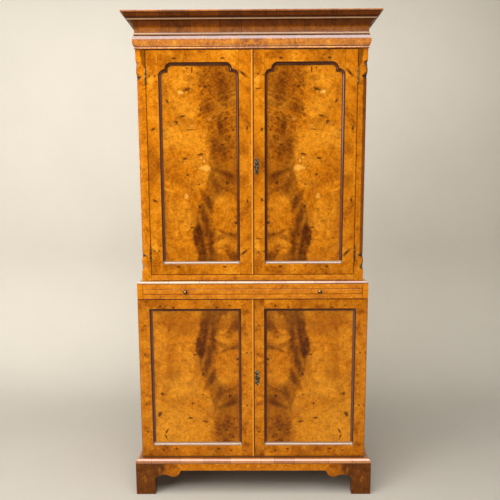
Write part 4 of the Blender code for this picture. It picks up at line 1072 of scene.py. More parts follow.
FINISHES = {
    "panel_veneer": panel_veneer,
    "upper_frame_burr": lambda: frame_burr("upper", 1.3),
    "lower_frame_burr": lambda: frame_burr("lower", 2.6),
    "side_burr": side_burr,
    "lipped_board": lipped_board,
    "inside_wood": inside_wood,
    "post_burr": post_burr,
    "foot_burr": foot_burr,
    "frieze_burr": frieze_burr,
    "base_banding": lambda: banded(
        "base_banding", X_LOWER, Y_LOWER_FRONT, "band_light", "band_dark", 0.095, 3.0, 0.4,
        (low("base_moulding").z, Z_SILL)),
    "waist_banding": lambda: banded(
        "waist_banding", X_UPPER, Y_UPPER_FRONT, "waist_light_and_highlight", "waist_dark_and_highlight", 0.12, 9.0, 0.6,
        (low("waist_moulding").z, high("waist_moulding").z)),
    "cornice_banding": lambda: banded(
        "cornice_banding", X_UPPER, Y_UPPER_FRONT, "cornice_light", "cornice_dark", 0.11, 21.0, 0.16,
        cornice_quirks(), cornice_hollows(), cornice_fillets()),
    "planted_wood": planted_wood,
    "bead_wood": bead_wood,
    "aged_brass": lambda: metal("aged_brass", "brass", "tarnish", 0.46),
    "cast_brass": lambda: metal("cast_brass", "plate", "tarnish", 0.48),
    "worn_steel": lambda: metal("worn_steel", "steel", "tarnish", 0.26),
    "clear_glass": clear_glass,
}


def finish(name):
    """The finish of that name, made the first time it is asked for."""
    return bpy.data.materials.get(name) or FINISHES[name]()


# Shaping

# Roundings of single pieces, where they are not those of the boards
FOOT_ARRIS = 0.001
LIP_ARRIS = 0.0012
SLIDE_ARRIS = 0.0010
BRASS_ARRIS = 0.0002
LOCK_ARRIS = 0.0003
BOLT_ARRIS = 0.0004
# The shortest edges that are rounded, on boards, on hinge leaves and on pivots
SHORTEST_EDGE = 0.012
LEAF_EDGE = 0.015
PIVOT_EDGE = 0.006


def new_object(name, data):
    """A new object in the scene, at the origin."""
    made = bpy.data.objects.new(name, data)
    bpy.context.scene.collection.objects.link(made)
    return made


def plain_mesh(made):
    """The mesh that an object has once its modifiers are run."""
    return bpy.data.meshes.new_from_object(made.evaluated_get(bpy.context.evaluated_depsgraph_get()))


def mesh_object(name, bm, smooth=None):
    """Turns a bmesh into an object at the origin, smooth up to an angle where one is given."""
    mesh = bpy.data.meshes.new(name)
    bm.to_mesh(mesh)
    bm.free()
    if smooth is not None:
        mesh.shade_smooth()
        mesh.set_sharp_from_angle(angle=smooth)
    return new_object(name, mesh)


def dress(piece, body, slot, finish_name, *nodes):
    """Gives a piece its finish, its body and the nodes that it stands for."""
    piece.data.materials.clear()
    piece.data.materials.append(finish(finish_name))
    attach(piece, body)
    if nodes:
        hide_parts(*nodes)


def refinish(node, finish_name):
    """A node whose shape is right keeps its mesh and gets a finish."""
    shown = frame["nodes"][node]
    if not shown.material_slots:
        shown.data.materials.append(None)
    for place in shown.material_slots:
        place.material = finish(finish_name)


def eased(node, arris, shortest=SHORTEST_EDGE, smooth=SMOOTH):
    """A copy of a node with its long arrises rounded."""
    bm = bmesh.new()
    bm.from_mesh(frame["nodes"][node].data)
    bmesh.ops.remove_doubles(bm, verts=bm.verts, dist=MERGE)
    bmesh.ops.dissolve_limit(bm, angle_limit=FLAT, verts=bm.verts, edges=bm.edges)
    edges = [
        edge for edge in bm.edges
        if edge.is_manifold and edge.calc_face_angle() > SHARP and edge.calc_length() > shortest
    ]
    bmesh.ops.bevel(
        bm, geom=edges, offset=arris, offset_type="OFFSET", segments=2, profile=0.5, affect="EDGES",
        clamp_overlap=True,
    )
    made = mesh_object(node + "_eased", bm, smooth)
    if smooth is not None:
        levelled(made)
    return made


def levelled(made):
    """Keeps the broad faces flat in the light, so that only the rounded arrises turn."""
    weighted = made.modifiers.new("level", "WEIGHTED_NORMAL")
    weighted.keep_sharp = True
    rough = made.data
    made.data = plain_mesh(made)
    made.modifiers.clear()
    bpy.data.meshes.remove(rough)


def ease_nodes(nodes, slot, finish_name, arris=None):
    """Rounds the arrises of nodes and gives them one finish."""
    for node in nodes:
        piece = eased(node, arris or sizes().arris)
        dress(piece, BODY_OF[node], slot, finish_name, node)


def arc(centre, radii, start, end, steps=None):
    """Points of an elliptical arc between two angles in degrees."""
    steps = steps or sizes().moulding_steps
    angles = [math.radians(start + (end - start) * i / steps) for i in range(steps + 1)]
    return [(centre[0] + radii[0] * math.cos(a), centre[1] + radii[1] * math.sin(a)) for a in angles]


def soften(points, radius):
    """Rounds the sharp corners of a closed profile."""
    softened = []
    count = len(points)
    for i, here in enumerate(points):
        here = Vector(here)
        back = Vector(points[i - 1]) - here
        ahead = Vector(points[(i + 1) % count]) - here
        if back.length < MERGE or ahead.length < MERGE:
            continue
        if back.angle(-ahead) < math.radians(25):
            softened.append(here)
            continue
        trim = min(radius, back.length * 0.45, ahead.length * 0.45)
        first, last = here + back.normalized() * trim, here + ahead.normalized() * trim
        softened += [first, first * 0.25 + here * 0.5 + last * 0.25, last]
    return softened


def swept(name, rings, closed):
    """Joins rings of matching points into a solid; an open run of rings is capped at its ends."""
    bm = bmesh.new()
    rings = [[bm.verts.new(point) for point in ring] for ring in rings]
    pairs = list(zip(rings, rings[1:]))
    if closed:
        pairs.append((rings[-1], rings[0]))
    else:
        bm.faces.new(rings[0])
        bm.faces.new(rings[-1])
    for first, second in pairs:
        for i in range(len(first)):
            j = (i + 1) % len(first)
            bm.faces.new((first[i], first[j], second[j], second[i]))
    bmesh.ops.recalc_face_normals(bm, faces=bm.faces)
    return mesh_object(name, bm, SMOOTH)


def mitred_run(name, profile, half_width, y_front):
    """A moulding along the front and both sides, mitred at the front corners.
    Profile points are (projection from the carcase face, height)."""
    profile = soften(profile, sizes().moulding_arris)
    rings = [
        [(side * (half_width + out), Y_BACK if at_back else y_front - out, z) for out, z in profile]
        for side, at_back in ((-1, True), (-1, False), (1, False), (1, True))
    ]
    return swept(name, rings, closed=False)


def inset_loop(loop, distance):
    """The loop, given anticlockwise, moved inwards with mitred corners."""
    moved = []
    count = len(loop)
    for i, here in enumerate(loop):
        here = Vector(here)
        before = (here - Vector(loop[i - 1])).normalized()
        after = (Vector(loop[(i + 1) % count]) - here).normalized()
        inward_before = Vector((-before.y, before.x))
        inward_after = Vector((-after.y, after.x))
        bisector = (inward_before + inward_after).normalized()
        moved.append(here + bisector * (distance / bisector.dot(inward_after)))
    return moved


# Pieces

def bracket_base():
    ease_nodes(("base_front", "base_left", "base_right"), "burr_veneer", "foot_burr", FOOT_ARRIS)
    ease_nodes(("base_rear",), "carcase_wood", "inside_wood")


def carcase():
    ease_nodes(("lower_top", "lower_dust_board", "upper_bottom"), "carcase_wood", "lipped_board", LIP_ARRIS)
    ease_nodes(
        ("lower_side_left", "lower_side_right", "upper_side_left", "upper_side_right"),
        "burr_veneer", "side_burr",
    )
    ease_nodes(
        ("lower_bottom", "lower_back", "lower_shelf", "upper_top", "upper_back", "cornice_cover"),
        "carcase_wood", "inside_wood",
    )
    ease_nodes(("pilaster_left", "pilaster_right"), "burr_veneer", "post_burr")


def base_moulding():
    """An ovolo over a fillet, round the top of the bracket base."""
    bottom = low("base_moulding").z
    out = X_BASE - X_LOWER
    fillet, quirk, top_flat = 0.005, 0.002, 0.004
    nose = arc((top_flat, bottom + fillet), (out - top_flat, Z_SILL - bottom - fillet), 0, 90)
    profile = [(SEAT_GAP, bottom), (out - quirk, bottom), (out, bottom + quirk)]
    profile += nose + [(SEAT_GAP, Z_SILL)]
    return mitred_run("base_moulding_run", profile, X_LOWER, Y_LOWER_FRONT)


def waist_moulding():
    """A thumb moulding where the upper stage stands on the lower one."""
    bottom, top = low("waist_moulding").z, high("waist_moulding").z
    out = X_LOWER - X_UPPER
    fillet, top_flat = 0.002, 0.003
    nose = arc((top_flat, bottom + fillet), (out - top_flat, top - bottom - fillet), 0, 90)
    profile = [(SEAT_GAP, bottom), (out, bottom)] + nose + [(SEAT_GAP, top)]
    return mitred_run("waist_moulding_run", profile, X_UPPER, Y_UPPER_FRONT)


MOULDING_BACKING = 0.020


def frieze():
    """A cushion frieze over a small bead."""
    bottom, top = low("frieze").z, high("frieze").z
    bead, bead_out, face, bulge = FRIEZE_BEAD, 0.004, 0.002, 0.007
    cushion_low = bottom + bead + SEAT_GAP
    half = (top - cushion_low) / 2
    profile = [(-MOULDING_BACKING, bottom), (0.0, bottom)]
    profile += arc((0.0, bottom + bead / 2), (bead_out, bead / 2), -75, 75)
    profile += arc((face, cushion_low + half), (bulge, half), -80, 80)
    profile += [(0.0, top), (-MOULDING_BACKING, top)]
    return mitred_run("frieze_run", profile, X_UPPER, Y_UPPER_FRONT)


def cornice():
    """Bead, cavetto, fillet, ogee and top fillet, with a rebate behind for the dust cover."""
    bottom = low("cornice").z
    projection = high("cornice").x - X_UPPER
    bead, bead_out, bead_in = CORNICE_BEAD, 0.0045, 0.0005
    cavetto = (0.0205, CORNICE_CAVETTO)
    fillet, fillet_out = CORNICE_FILLET, 0.002
    top_fillet, top_fillet_out = CORNICE_TOP_FILLET, 0.0025
    quirk = CORNICE_QUIRK
    hollow_low = bottom + bead + quirk
    hollow_in = bead_in + quirk / 2
    fillet_low = hollow_low + cavetto[1]
    fillet_face = hollow_in + cavetto[0] + fillet_out
    ogee_low = fillet_low + fillet
    ogee_in = fillet_face + fillet_out
    ogee_out = projection - top_fillet_out
    half = ((ogee_out - ogee_in) / 2, (Z_TOP - top_fillet - ogee_low) / 2)
    profile = [(-MOULDING_BACKING, bottom), (bead_in, bottom)]
    profile += arc((bead_in, bottom + bead / 2), (bead_out - bead_in, bead / 2), -70, 70)
    profile += arc((hollow_in + cavetto[0], hollow_low), cavetto, 180, 90)
    profile += [(fillet_face, fillet_low), (fillet_face, ogee_low)]
    profile += arc((ogee_in, ogee_low + half[1]), half, -90, 0)
    profile += arc((ogee_out, ogee_low + half[1]), half, 180, 90)[1:]
    profile += [(projection, Z_TOP - top_fillet), (projection, Z_TOP)]
    ledge = low("cornice_cover").z - SEAT_GAP
    rebate = high("cornice_cover").x - X_UPPER + SEAT_GAP
    profile += [(rebate, Z_TOP), (rebate, ledge), (-MOULDING_BACKING, ledge)]
    return mitred_run("cornice_run", profile, X_UPPER, Y_UPPER_FRONT)


def mouldings():
    dress(base_moulding(), "carcase", "burr_veneer", "base_banding", "base_moulding")
    dress(waist_moulding(), "carcase", "burr_veneer", "waist_banding", "waist_moulding")
    dress(frieze(), "carcase", "burr_veneer", "frieze_burr", "frieze")
    dress(cornice(), "carcase", "burr_veneer", "cornice_banding", "cornice")


def panel_opening(door):
    """The sight opening of a door; the upper ones have two round steps and a cusp at their heads."""
    lowest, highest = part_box(door + "_panel")
    x0, x1 = lowest.x + PANEL_TONGUE, highest.x - PANEL_TONGUE
    z0, z1 = lowest.z + PANEL_TONGUE, highest.z - PANEL_TONGUE
    if door.startswith("lower"):
        return [(x0, z0), (x1, z0), (x1, z1), (x0, z1)]
    r = CUSP_RADIUS
    loop = [(x0, z0), (x1, z0)]
    loop += arc((x1 - r, z1 - 2 * r), (r, r), 0, 90)
    loop += arc((x1 - 2 * r, z1 - r), (r, r), 0, 90)[1:]
    loop += arc((x0 + 2 * r, z1 - r), (r, r), 90, 180)
    loop += arc((x0 + r, z1 - 2 * r), (r, r), 90, 180)[1:]
    return loop


def planted_moulding(door):
    """A hollow moulding planted round a door's opening, against its frame and panel."""
    y_front = low(door + "_frame").y
    seat = high(door + "_moulding").y - y_front
    width, fillet, sight, quirk, sink = 0.0108, 0.0022, 0.0012, 0.0010, 0.0008
    deep = seat - quirk
    hollow = arc((width - sight, sink + quirk), (width - fillet - sight, deep - sink - quirk), 180, 90)
    profile = [(SEAT_GAP, seat), (SEAT_GAP, sink), (fillet, sink)]
    profile += hollow + [(width, deep), (width, seat)]
    profile = soften(profile, sizes().moulding_arris)
    opening = panel_opening(door)
    loops = [(inset_loop(opening, inward), depth) for inward, depth in profile]
    rings = [
        [(loop[i].x, y_front + depth, loop[i].y) for loop, depth in loops] for i in range(len(opening))
    ]
    return swept(door + "_planted_moulding", rings, closed=True)


def grow(name, mesh, tree, values):
    """Runs a geometry node tree on a mesh and keeps the result as a plain mesh."""
    seed = new_object(name + "_seed", mesh)
    step = seed.modifiers.new("grow", "NODES")
    step.node_group = tree
    for item in tree.interface.items_tree:
        if item.in_out == "INPUT" and item.name in values:
            step[item.identifier] = values[item.name]
    grown = plain_mesh(seed)
    grown.name = name
    bpy.data.objects.remove(seed)
    return new_object(name, grown)


# How far the meeting beads stop short of the doors' ends
BEAD_STOP = 0.001


def meeting_bead(door):
    """The half-round bead on the meeting edge of a left-hand door."""
    lowest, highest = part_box(door + "_frame")
    half = sizes().bead_width / 2
    section = arc((highest.x - half, lowest.y + MERGE), (half, sizes().bead_rise), 180, 360)
    ends = (lowest.z + BEAD_STOP, highest.z - BEAD_STOP)
    rings = [[(x, y, z) for x, y in section] for z in ends]
    piece = swept(door + "_meeting_bead", rings, closed=False)
    dress(piece, BODY_OF[door + "_frame"], "burr_veneer", "bead_wood")


def doors():
    for door in DOORS:
        stage = door.split("_")[0]
        body = BODY_OF[door + "_frame"]
        ease_nodes((door + "_frame",), "burr_veneer", stage + "_frame_burr")
        refinish(door + "_panel", "panel_veneer")
        dress(planted_moulding(door), body, "dark_moulding", "planted_wood", door + "_moulding")
        if "left" in door:
            meeting_bead(door)


def turned(name, profile, place, sides=48):
    """A turned shape: profile points are (radius, distance along the axis, which is local +Z)."""
    bm = bmesh.new()
    points = [bm.verts.new((radius, 0.0, along)) for radius, along in profile]
    edges = [bm.edges.new(pair) for pair in zip(points, points[1:])]
    bmesh.ops.spin(
        bm, geom=points + edges, cent=(0, 0, 0), axis=(0, 0, 1), angle=math.tau, steps=sides,
        use_merge=True,
    )
    bmesh.ops.remove_doubles(bm, verts=bm.verts, dist=1e-5)
    bmesh.ops.transform(bm, matrix=place, verts=bm.verts)
    bmesh.ops.recalc_face_normals(bm, faces=bm.faces)
    return mesh_object(name, bm, ROUND)


def knob(node):
    """A turned knob: a flange, a neck and a ball with a small tip."""
    lowest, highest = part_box(node)
    radius = (highest.x - lowest.x) / 2
    reach = highest.y - lowest.y
    neck, flange = radius * 0.5, 0.0015
    profile = [(0.0, reach)]
    profile += arc((0.0, reach - radius), (radius, radius), 86, -48)
    profile += arc((neck + 0.0016, 0.0042), (0.0016, 0.0016), 160, 250, 6)
    profile += arc((neck + flange, flange), (flange, flange), 60, -90, 6)
    profile += [(0.0, 0.0)]
    place = Matrix.Translation(((lowest.x + highest.x) / 2, highest.y, (lowest.z + highest.z) / 2))
    return turned(node + "_turned", profile, place @ Matrix.Rotation(math.radians(90), 4, "X"))


def slide():
    ease_nodes(("slide_front",), "burr_veneer", "lipped_board", SLIDE_ARRIS)
    ease_nodes(("slide_board",), "carcase_wood", "inside_wood")
    for hand in HANDS:
        node = f"slide_knob_{hand}"
        dress(knob(node), "slide", "antique_brass", "aged_brass", node)


def shelves():
    for node in ("glass_shelf_lower", "glass_shelf_upper"):
        piece = eased(node, sizes().glass_arris, smooth=None)
        piece.visible_shadow = False
        dress(piece, BODY_OF[node], "shelf_glass", "clear_glass", node)


def hinges():
    for hand in HANDS:
        for end in ("top", "bottom"):
            hinge = f"upper_{hand}_hinge_{end}"
            for node, shortest in (
                (hinge + "_post_leaf", LEAF_EDGE), (hinge + "_door_leaf", LEAF_EDGE),
                (f"lower_{hand}_pivot_{end}", PIVOT_EDGE),
            ):
                piece = eased(node, BRASS_ARRIS, shortest, ROUND)
                dress(piece, BODY_OF[node], "antique_brass", "aged_brass", node)


# Outline of a keyhole plate: (share of half height, share of half width), from finial to tail
PLATE_OUTLINE = (
    (1.0, 0.05), (0.95, 0.16), (0.90, 0.10), (0.84, 0.30), (0.74, 0.62), (0.66, 0.90), (0.56, 0.98),
    (0.46, 0.86), (0.36, 0.64), (0.28, 0.62), (0.16, 0.82), (0.04, 0.96), (-0.12, 0.98), (-0.26, 0.80),
    (-0.38, 0.60), (-0.46, 0.64), (-0.56, 0.86), (-0.66, 0.94), (-0.76, 0.80), (-0.84, 0.42), (-0.90, 0.16),
    (-0.95, 0.18), (-1.0, 0.05),
)
# Cast relief: (x share, height share, radius share of half width, rise)
PLATE_BOSSES = (
    (0.0, 0.36, 0.42, 1.0), (0.0, -0.52, 0.46, 0.9), (0.0, 0.78, 0.26, 0.6), (-0.6, -0.04, 0.26, 0.5),
    (0.6, -0.04, 0.26, 0.5), (-0.45, 0.55, 0.2, -1.1), (0.45, 0.55, 0.2, -1.1), (0.0, -0.30, 0.22, -0.9),
)


# The plates' relief, as shares of its greatest: at the edge, added towards the middle, added by a boss,
# and the least of all; and how fast a boss falls away
PLATE_EDGE, PLATE_CROWN, BOSS_LIFT, PLATE_LEAST = 0.35, 0.35, 0.42, 0.12
BOSS_FALL = 1.6
PLATE_ROWS, PLATE_COLUMNS = 96, 28


def between(points, place):
    """A value read between neighbouring points of (place, value), given from high to low."""
    for (start, first), (end, last) in zip(points, points[1:]):
        if start >= place >= end:
            share = (start - place) / (start - end)
            return first + (last - first) * (1 - math.cos(math.pi * share)) / 2
    return points[-1][1]


def plate_height(across, place, half_w, half_h, rise):
    """The cast relief at a point: a rounded edge, with bosses and hollows on it."""
    edge = math.sqrt(max(0.0, 1 - abs(across) ** 3))
    height = PLATE_EDGE + PLATE_CROWN * edge
    x = across * between(PLATE_OUTLINE, place) * half_w
    for centre, level, radius, lift in PLATE_BOSSES:
        reach = math.hypot(x - centre * half_w, (place - level) * half_h) / (radius * half_w)
        height += BOSS_LIFT * lift * math.exp(-reach * reach * BOSS_FALL)
    return rise * min(1.0, max(PLATE_LEAST, height))


def keyhole_plate(node):
    """A cast keyhole plate with a pierced outline and raised bosses."""
    lowest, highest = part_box(node)
    half_w, half_h = (highest.x - lowest.x) / 2, (highest.z - lowest.z) / 2
    middle = (lowest + highest) / 2
    rows, columns = PLATE_ROWS, PLATE_COLUMNS
    bm = bmesh.new()
    front, back = [], []
    for i in range(rows + 1):
        place = 1 - 2 * i / rows
        width = between(PLATE_OUTLINE, place) * half_w
        z = middle.z + place * half_h
        front.append([])
        back.append([])
        for j in range(columns + 1):
            across = 2 * j / columns - 1
            x = middle.x + across * width
            height = plate_height(across, place, half_w, half_h, sizes().plate_rise)
            front[-1].append(bm.verts.new((x, highest.y - height, z)))
            back[-1].append(bm.verts.new((x, highest.y, z)))
    for i in range(rows):
        for j in range(columns):
            bm.faces.new((front[i][j], front[i][j + 1], front[i + 1][j + 1], front[i + 1][j]))
            bm.faces.new((back[i][j], back[i + 1][j], back[i + 1][j + 1], back[i][j + 1]))
    rim = [(i, 0) for i in range(rows + 1)] + [(rows, j) for j in range(1, columns + 1)]
    rim += [(i, columns) for i in range(rows - 1, -1, -1)] + [(0, j) for j in range(columns - 1, 0, -1)]
    for (a, b), (c, d) in zip(rim, rim[1:] + rim[:1]):
        bm.faces.new((front[a][b], front[c][d], back[c][d], back[a][b]))
    bmesh.ops.recalc_face_normals(bm, faces=bm.faces)
    plate = mesh_object(node + "_blank", bm, ROUND)
    return pierced(plate, node + "_cast", middle)


# The keyhole's round, its slot's width and how far that goes down, and the depth of the cut each way
KEYHOLE_RADIUS = 0.0024
KEYHOLE_SLOT = (0.0018, 0.008)
KEYHOLE_DEPTH = 0.01


def pierced(plate, name, middle):
    """Cuts the keyhole through a plate."""
    half, drop = KEYHOLE_SLOT[0] / 2, KEYHOLE_SLOT[1]
    open_angle = math.degrees(math.asin(half / KEYHOLE_RADIUS))
    loop = arc((0.0, 0.0), (KEYHOLE_RADIUS, KEYHOLE_RADIUS), -90 + open_angle, 270 - open_angle, 20)
    loop += [(-half, -drop), (half, -drop)]
    rings = [
        [(middle.x + u, middle.y + y, middle.z + v) for u, v in loop]
        for y in (-KEYHOLE_DEPTH, KEYHOLE_DEPTH)
    ]
    cutter = swept("keyhole_cutter", rings, closed=False)
    step = plate.modifiers.new("keyhole", "BOOLEAN")
    step.operation = "DIFFERENCE"
    step.solver = "EXACT"
    step.object = cutter
    mesh = plain_mesh(plate)
    mesh.name = name
    bpy.data.objects.remove(plate)
    bpy.data.objects.remove(cutter)
    return new_object(name, mesh)


def locks():
    for stage in ("upper", "lower"):
        door = f"{stage}_right_door"
        node = door + "_escutcheon"
        dress(keyhole_plate(node), BODY_OF[node], "antique_brass", "cast_brass", node)
        ease_nodes((door + "_lock_case",), "lock_steel", "worn_steel", LOCK_ARRIS)
        ease_nodes((door + "_lock_bolt",), "antique_brass", "aged_brass", BOLT_ARRIS)


def screw_tree():
    """Geometry nodes: slotted screw heads on points, each turned to face along its own direction."""
    tree = bpy.data.node_groups.new("Slotted Screws", "GeometryNodeTree")
    ports = tree.interface
    ports.new_socket(name="Geometry", in_out="INPUT", socket_type="NodeSocketGeometry")
    for label, kind in (
        ("Radius", "NodeSocketFloat"), ("Rise", "NodeSocketFloat"), ("Slot", "NodeSocketFloat"),
        ("Finish", "NodeSocketMaterial"),
    ):
        ports.new_socket(name=label, in_out="INPUT", socket_type=kind)
    ports.new_socket(name="Geometry", in_out="OUTPUT", socket_type="NodeSocketGeometry")
    n = Nodes(tree)
    given = n.add("NodeGroupInput").outputs
    head = n.add("GeometryNodeMeshCone", {
        "Vertices": 20, "Radius Top": n.product(given["Radius"], 0.86),
        "Radius Bottom": given["Radius"], "Depth": given["Rise"],
    })
    slot_size = n.combine(n.product(given["Radius"], 3.0), given["Slot"], given["Rise"])
    slot = n.add("GeometryNodeMeshCube", {"Size": slot_size})
    raised = n.add("GeometryNodeTransform", {
        "Geometry": slot.outputs[0],
        "Translation": n.combine(0.0, 0.0, n.product(given["Rise"], 0.85)),
    })
    cut = n.add("GeometryNodeMeshBoolean", {"Mesh 1": head.outputs[0]}, operation="DIFFERENCE")
    tree.links.new(raised.outputs[0], cut.inputs["Mesh 2"])
    facing = n.add("GeometryNodeInputNamedAttribute", {"Name": "facing"}, data_type="FLOAT_VECTOR")
    turn = n.add("GeometryNodeInputNamedAttribute", {"Name": "turn"}, data_type="FLOAT")
    aligned = n.add("FunctionNodeAlignRotationToVector", {"Vector": facing.outputs[0]}, axis="Z")
    twist = n.add("FunctionNodeAxisAngleToRotation", {"Axis": (0, 0, 1), "Angle": turn.outputs[0]})
    spun = n.add("FunctionNodeRotateRotation", {
        0: aligned.outputs[0], 1: twist.outputs[0],
    }, rotation_space="LOCAL")
    placed = n.add("GeometryNodeInstanceOnPoints", {
        "Points": given["Geometry"], "Instance": cut.outputs[0], "Rotation": spun.outputs[0],
    })
    real = n.add("GeometryNodeRealizeInstances", {"Geometry": placed.outputs[0]})
    finished = n.add("GeometryNodeSetMaterial", {"Geometry": real.outputs[0], "Material": given["Finish"]})
    out = n.add("NodeGroupOutput")
    tree.links.new(finished.outputs[0], out.inputs["Geometry"])
    return tree


# How far each screw's slot is turned from the one before, in radians
SCREW_TURN = 2.4


def screw_points(name, places):
    """A mesh of points for screws; places are (point, facing)."""
    mesh = bpy.data.meshes.new(name)
    mesh.from_pydata([tuple(point) for point, _ in places], [], [])
    mesh.attributes.new("facing", "FLOAT_VECTOR", "POINT")
    mesh.attributes.new("turn", "FLOAT", "POINT")
    for i, (_, direction) in enumerate(places):
        mesh.attributes["facing"].data[i].vector = direction
        mesh.attributes["turn"].data[i].value = i * SCREW_TURN
    return mesh


# The hinge leaves' open faces, how far the screw heads are sunk in them, where the screws lie: a share of
# the leaf's depth, the outer two further in, and shares of its height apart; and how far heads stand out
HINGE_X = X_PILASTER - 0.00075
LEAF_SINK = 0.00015
LEAF_SCREW_DEPTH, LEAF_SCREW_STAGGER, LEAF_SCREW_STEP = 0.66, 0.0028, 0.36
LEAF_SCREW_RISE, BACK_SCREW_RISE = 0.00014, 0.0012
BACK_SCREW_INSET = 0.012
# Back boards, with the columns and rows of screws round their edges
BACK_SCREWS = (("lower_back", 5, 4), ("upper_back", 5, 5))


def leaf_screws(node, side, outward):
    """Three screws down the open face of a hinge leaf."""
    lowest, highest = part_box(node)
    face = HINGE_X * side - outward * LEAF_SINK
    depth = lowest.y + (highest.y - lowest.y) * LEAF_SCREW_DEPTH
    middle = (lowest.z + highest.z) / 2
    step = (highest.z - lowest.z) * LEAF_SCREW_STEP
    return [
        ((face, depth + (LEAF_SCREW_STAGGER if i else 0.0), middle + i * step), (outward, 0, 0))
        for i in (-1, 0, 1)
    ]


def back_screws():
    """Screws round the edges of both back boards."""
    places = []
    inset = BACK_SCREW_INSET
    for back, columns, rows in BACK_SCREWS:
        lowest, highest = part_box(back)
        for i in range(columns):
            for j in range(rows):
                if 0 < i < columns - 1 and 0 < j < rows - 1:
                    continue
                x = lowest.x + inset + (highest.x - lowest.x - 2 * inset) * i / (columns - 1)
                z = lowest.z + inset + (highest.z - lowest.z - 2 * inset) * j / (rows - 1)
                places.append(((x, highest.y, z), (0, 1, 0)))
    return places


def drive(name, body, places, tree, sizing, slot, finish_name):
    """Drives screws at places, as one piece of a body; sizing is (radius, rise, slot's share of radius)."""
    radius, rise, share = sizing
    piece = grow(name, screw_points(name, places), tree, {
        "Radius": radius, "Rise": rise, "Slot": radius * share, "Finish": finish(finish_name),
    })
    dress(piece, body, slot, finish_name)


def screws():
    tree = screw_tree()
    leaf_sizing = (sizes().screw_head, LEAF_SCREW_RISE, 0.3)
    for hand, side in HANDS.items():
        post, door = [], []
        for end in ("top", "bottom"):
            node = f"upper_{hand}_hinge_{end}"
            post += leaf_screws(node + "_post_leaf", side, -side)
            door += leaf_screws(node + "_door_leaf", side, side)
        for name, body, places in (
            (f"upper_{hand}_post_screws", "carcase", post),
            (f"upper_{hand}_door_screws", f"upper_{hand}_door", door),
        ):
            drive(name, body, places, tree, leaf_sizing, "antique_brass", "aged_brass")
    back_sizing = (sizes().back_screw_head, BACK_SCREW_RISE, 0.28)
    drive("back_board_screws", "carcase", back_screws(), tree, back_sizing, "lock_steel", "worn_steel")


# Stage

# Only for seen rays: where the floor brightens behind the cabinet, by its depth, and where the far floor
# glows, by its distance, with how much; and the tone and strength of the air
LIFT_RUN, LIFT = (0.3, 1.5), 0.55
GLOW_RUN, GLOW = (3.2, 8.0), 0.78
AIR_COLOUR, AIR_SEEN = (1.0, 0.93, 0.79, 1.0), 0.45
LENS, SENSOR = 36.05, 36.0


def seen_rays(n):
    """One for the rays that show the background: those of the camera, of gloss and of glass."""
    light_path = n.add("ShaderNodeLightPath").outputs
    seen = n.math("MAXIMUM", light_path["Is Camera Ray"], light_path["Is Glossy Ray"])
    return n.math("MAXIMUM", seen, light_path["Is Transmission Ray"])


def stage_finish():
    """Pale floor and backdrop, which only show their front."""
    made, n, shader = start_finish("pale_stage", roughness=0.85)
    cloud = n.noise(n.place(), 2.2, 4.0, 0.6)
    grit = n.noise(n.place(), 160.0, 2.0)
    tone = n.total(n.spread(cloud, 0.94, 1.04), n.product(n.minus(grit, 0.5), 0.05))
    seen = seen_rays(n)
    lift = n.product(seen, n.step(n.axes()[1], *LIFT_RUN), LIFT)
    tone = n.product(tone, n.total(1.0, lift))
    glow = n.product(seen, n.step(n.length(n.place()), *GLOW_RUN), GLOW)
    for socket, grey in (("Base Color", tone), ("Emission Color", glow)):
        shade = n.mix(1.0, paint("floor"), n.combine(grey, grey, grey), "MULTIPLY")
        n.feed(shader.inputs[socket], shade)
    shader.inputs["Emission Strength"].default_value = 1.0
    behind = n.add("ShaderNodeNewGeometry").outputs["Backfacing"]
    clear = n.add("ShaderNodeBsdfTransparent").outputs[0]
    out = made.node_tree.nodes["Material Output"]
    mixed = n.add("ShaderNodeMixShader", {0: behind, 1: shader.outputs[0], 2: clear})
    n.feed(out.inputs["Surface"], mixed.outputs[0])
    return made


def sweep():
    """A floor that curves up into a backdrop, and goes on behind it."""
    half, front, wall, height, curve, behind = 24.0, -24.0, 1.5, 7.0, 0.8, 24.0
    line = [(front, 0.0)] + [
        (wall - curve + curve * math.sin(a), curve - curve * math.cos(a))
        for a in (math.radians(5 * i) for i in range(19))
    ] + [(wall, height)]
    bm = bmesh.new()
    left = [bm.verts.new((-half, y, z)) for y, z in line]
    right = [bm.verts.new((half, y, z)) for y, z in line]
    for i in range(len(line) - 1):
        bm.faces.new((left[i], right[i], right[i + 1], left[i + 1]))
    far = [bm.verts.new((x, behind, 0.0)) for x in (half, -half)]
    bm.faces.new((left[1], right[1], *far))
    made = mesh_object("floor_sweep", bm, SMOOTH)
    made.data.materials.append(stage_finish())


def area_light(name, place, target, width, depth, power):
    lamp = bpy.data.lights.new(name, "AREA")
    lamp.shape = "RECTANGLE"
    lamp.size, lamp.size_y = width, depth
    lamp.energy = power
    made = new_object(name, lamp)
    made.location = place
    made.rotation_euler = (Vector(target) - Vector(place)).to_track_quat("-Z", "Y").to_euler()
    made.visible_camera = False
    return made


def world_light(strength):
    """Even pale light from all round, at one strength for light and at another for seen rays."""
    world = bpy.data.worlds.new("pale_air")
    bpy.context.scene.world = world
    world.use_nodes = True
    n = Nodes(world.node_tree)
    backdrop = world.node_tree.nodes["Background"]
    n.feed(backdrop.inputs["Color"], AIR_COLOUR)
    n.feed(backdrop.inputs["Strength"], n.choose(seen_rays(n), strength, AIR_SEEN))


def camera():
    settings = bpy.context.scene.cabinet_stage
    lens = bpy.data.cameras.new("camera")
    lens.lens = LENS
    lens.sensor_width = SENSOR
    made = new_object("camera", lens)
    made.matrix_world = (
        Matrix.Translation((settings.camera_side, -settings.camera_back, settings.camera_height))
        @ Matrix.Rotation(math.radians(settings.camera_turn), 4, "Z")
        @ Matrix.Rotation(math.radians(90 - settings.camera_pitch), 4, "X")
        @ Matrix.Rotation(math.radians(settings.camera_roll), 4, "Z")
    )
    bpy.context.scene.camera = made


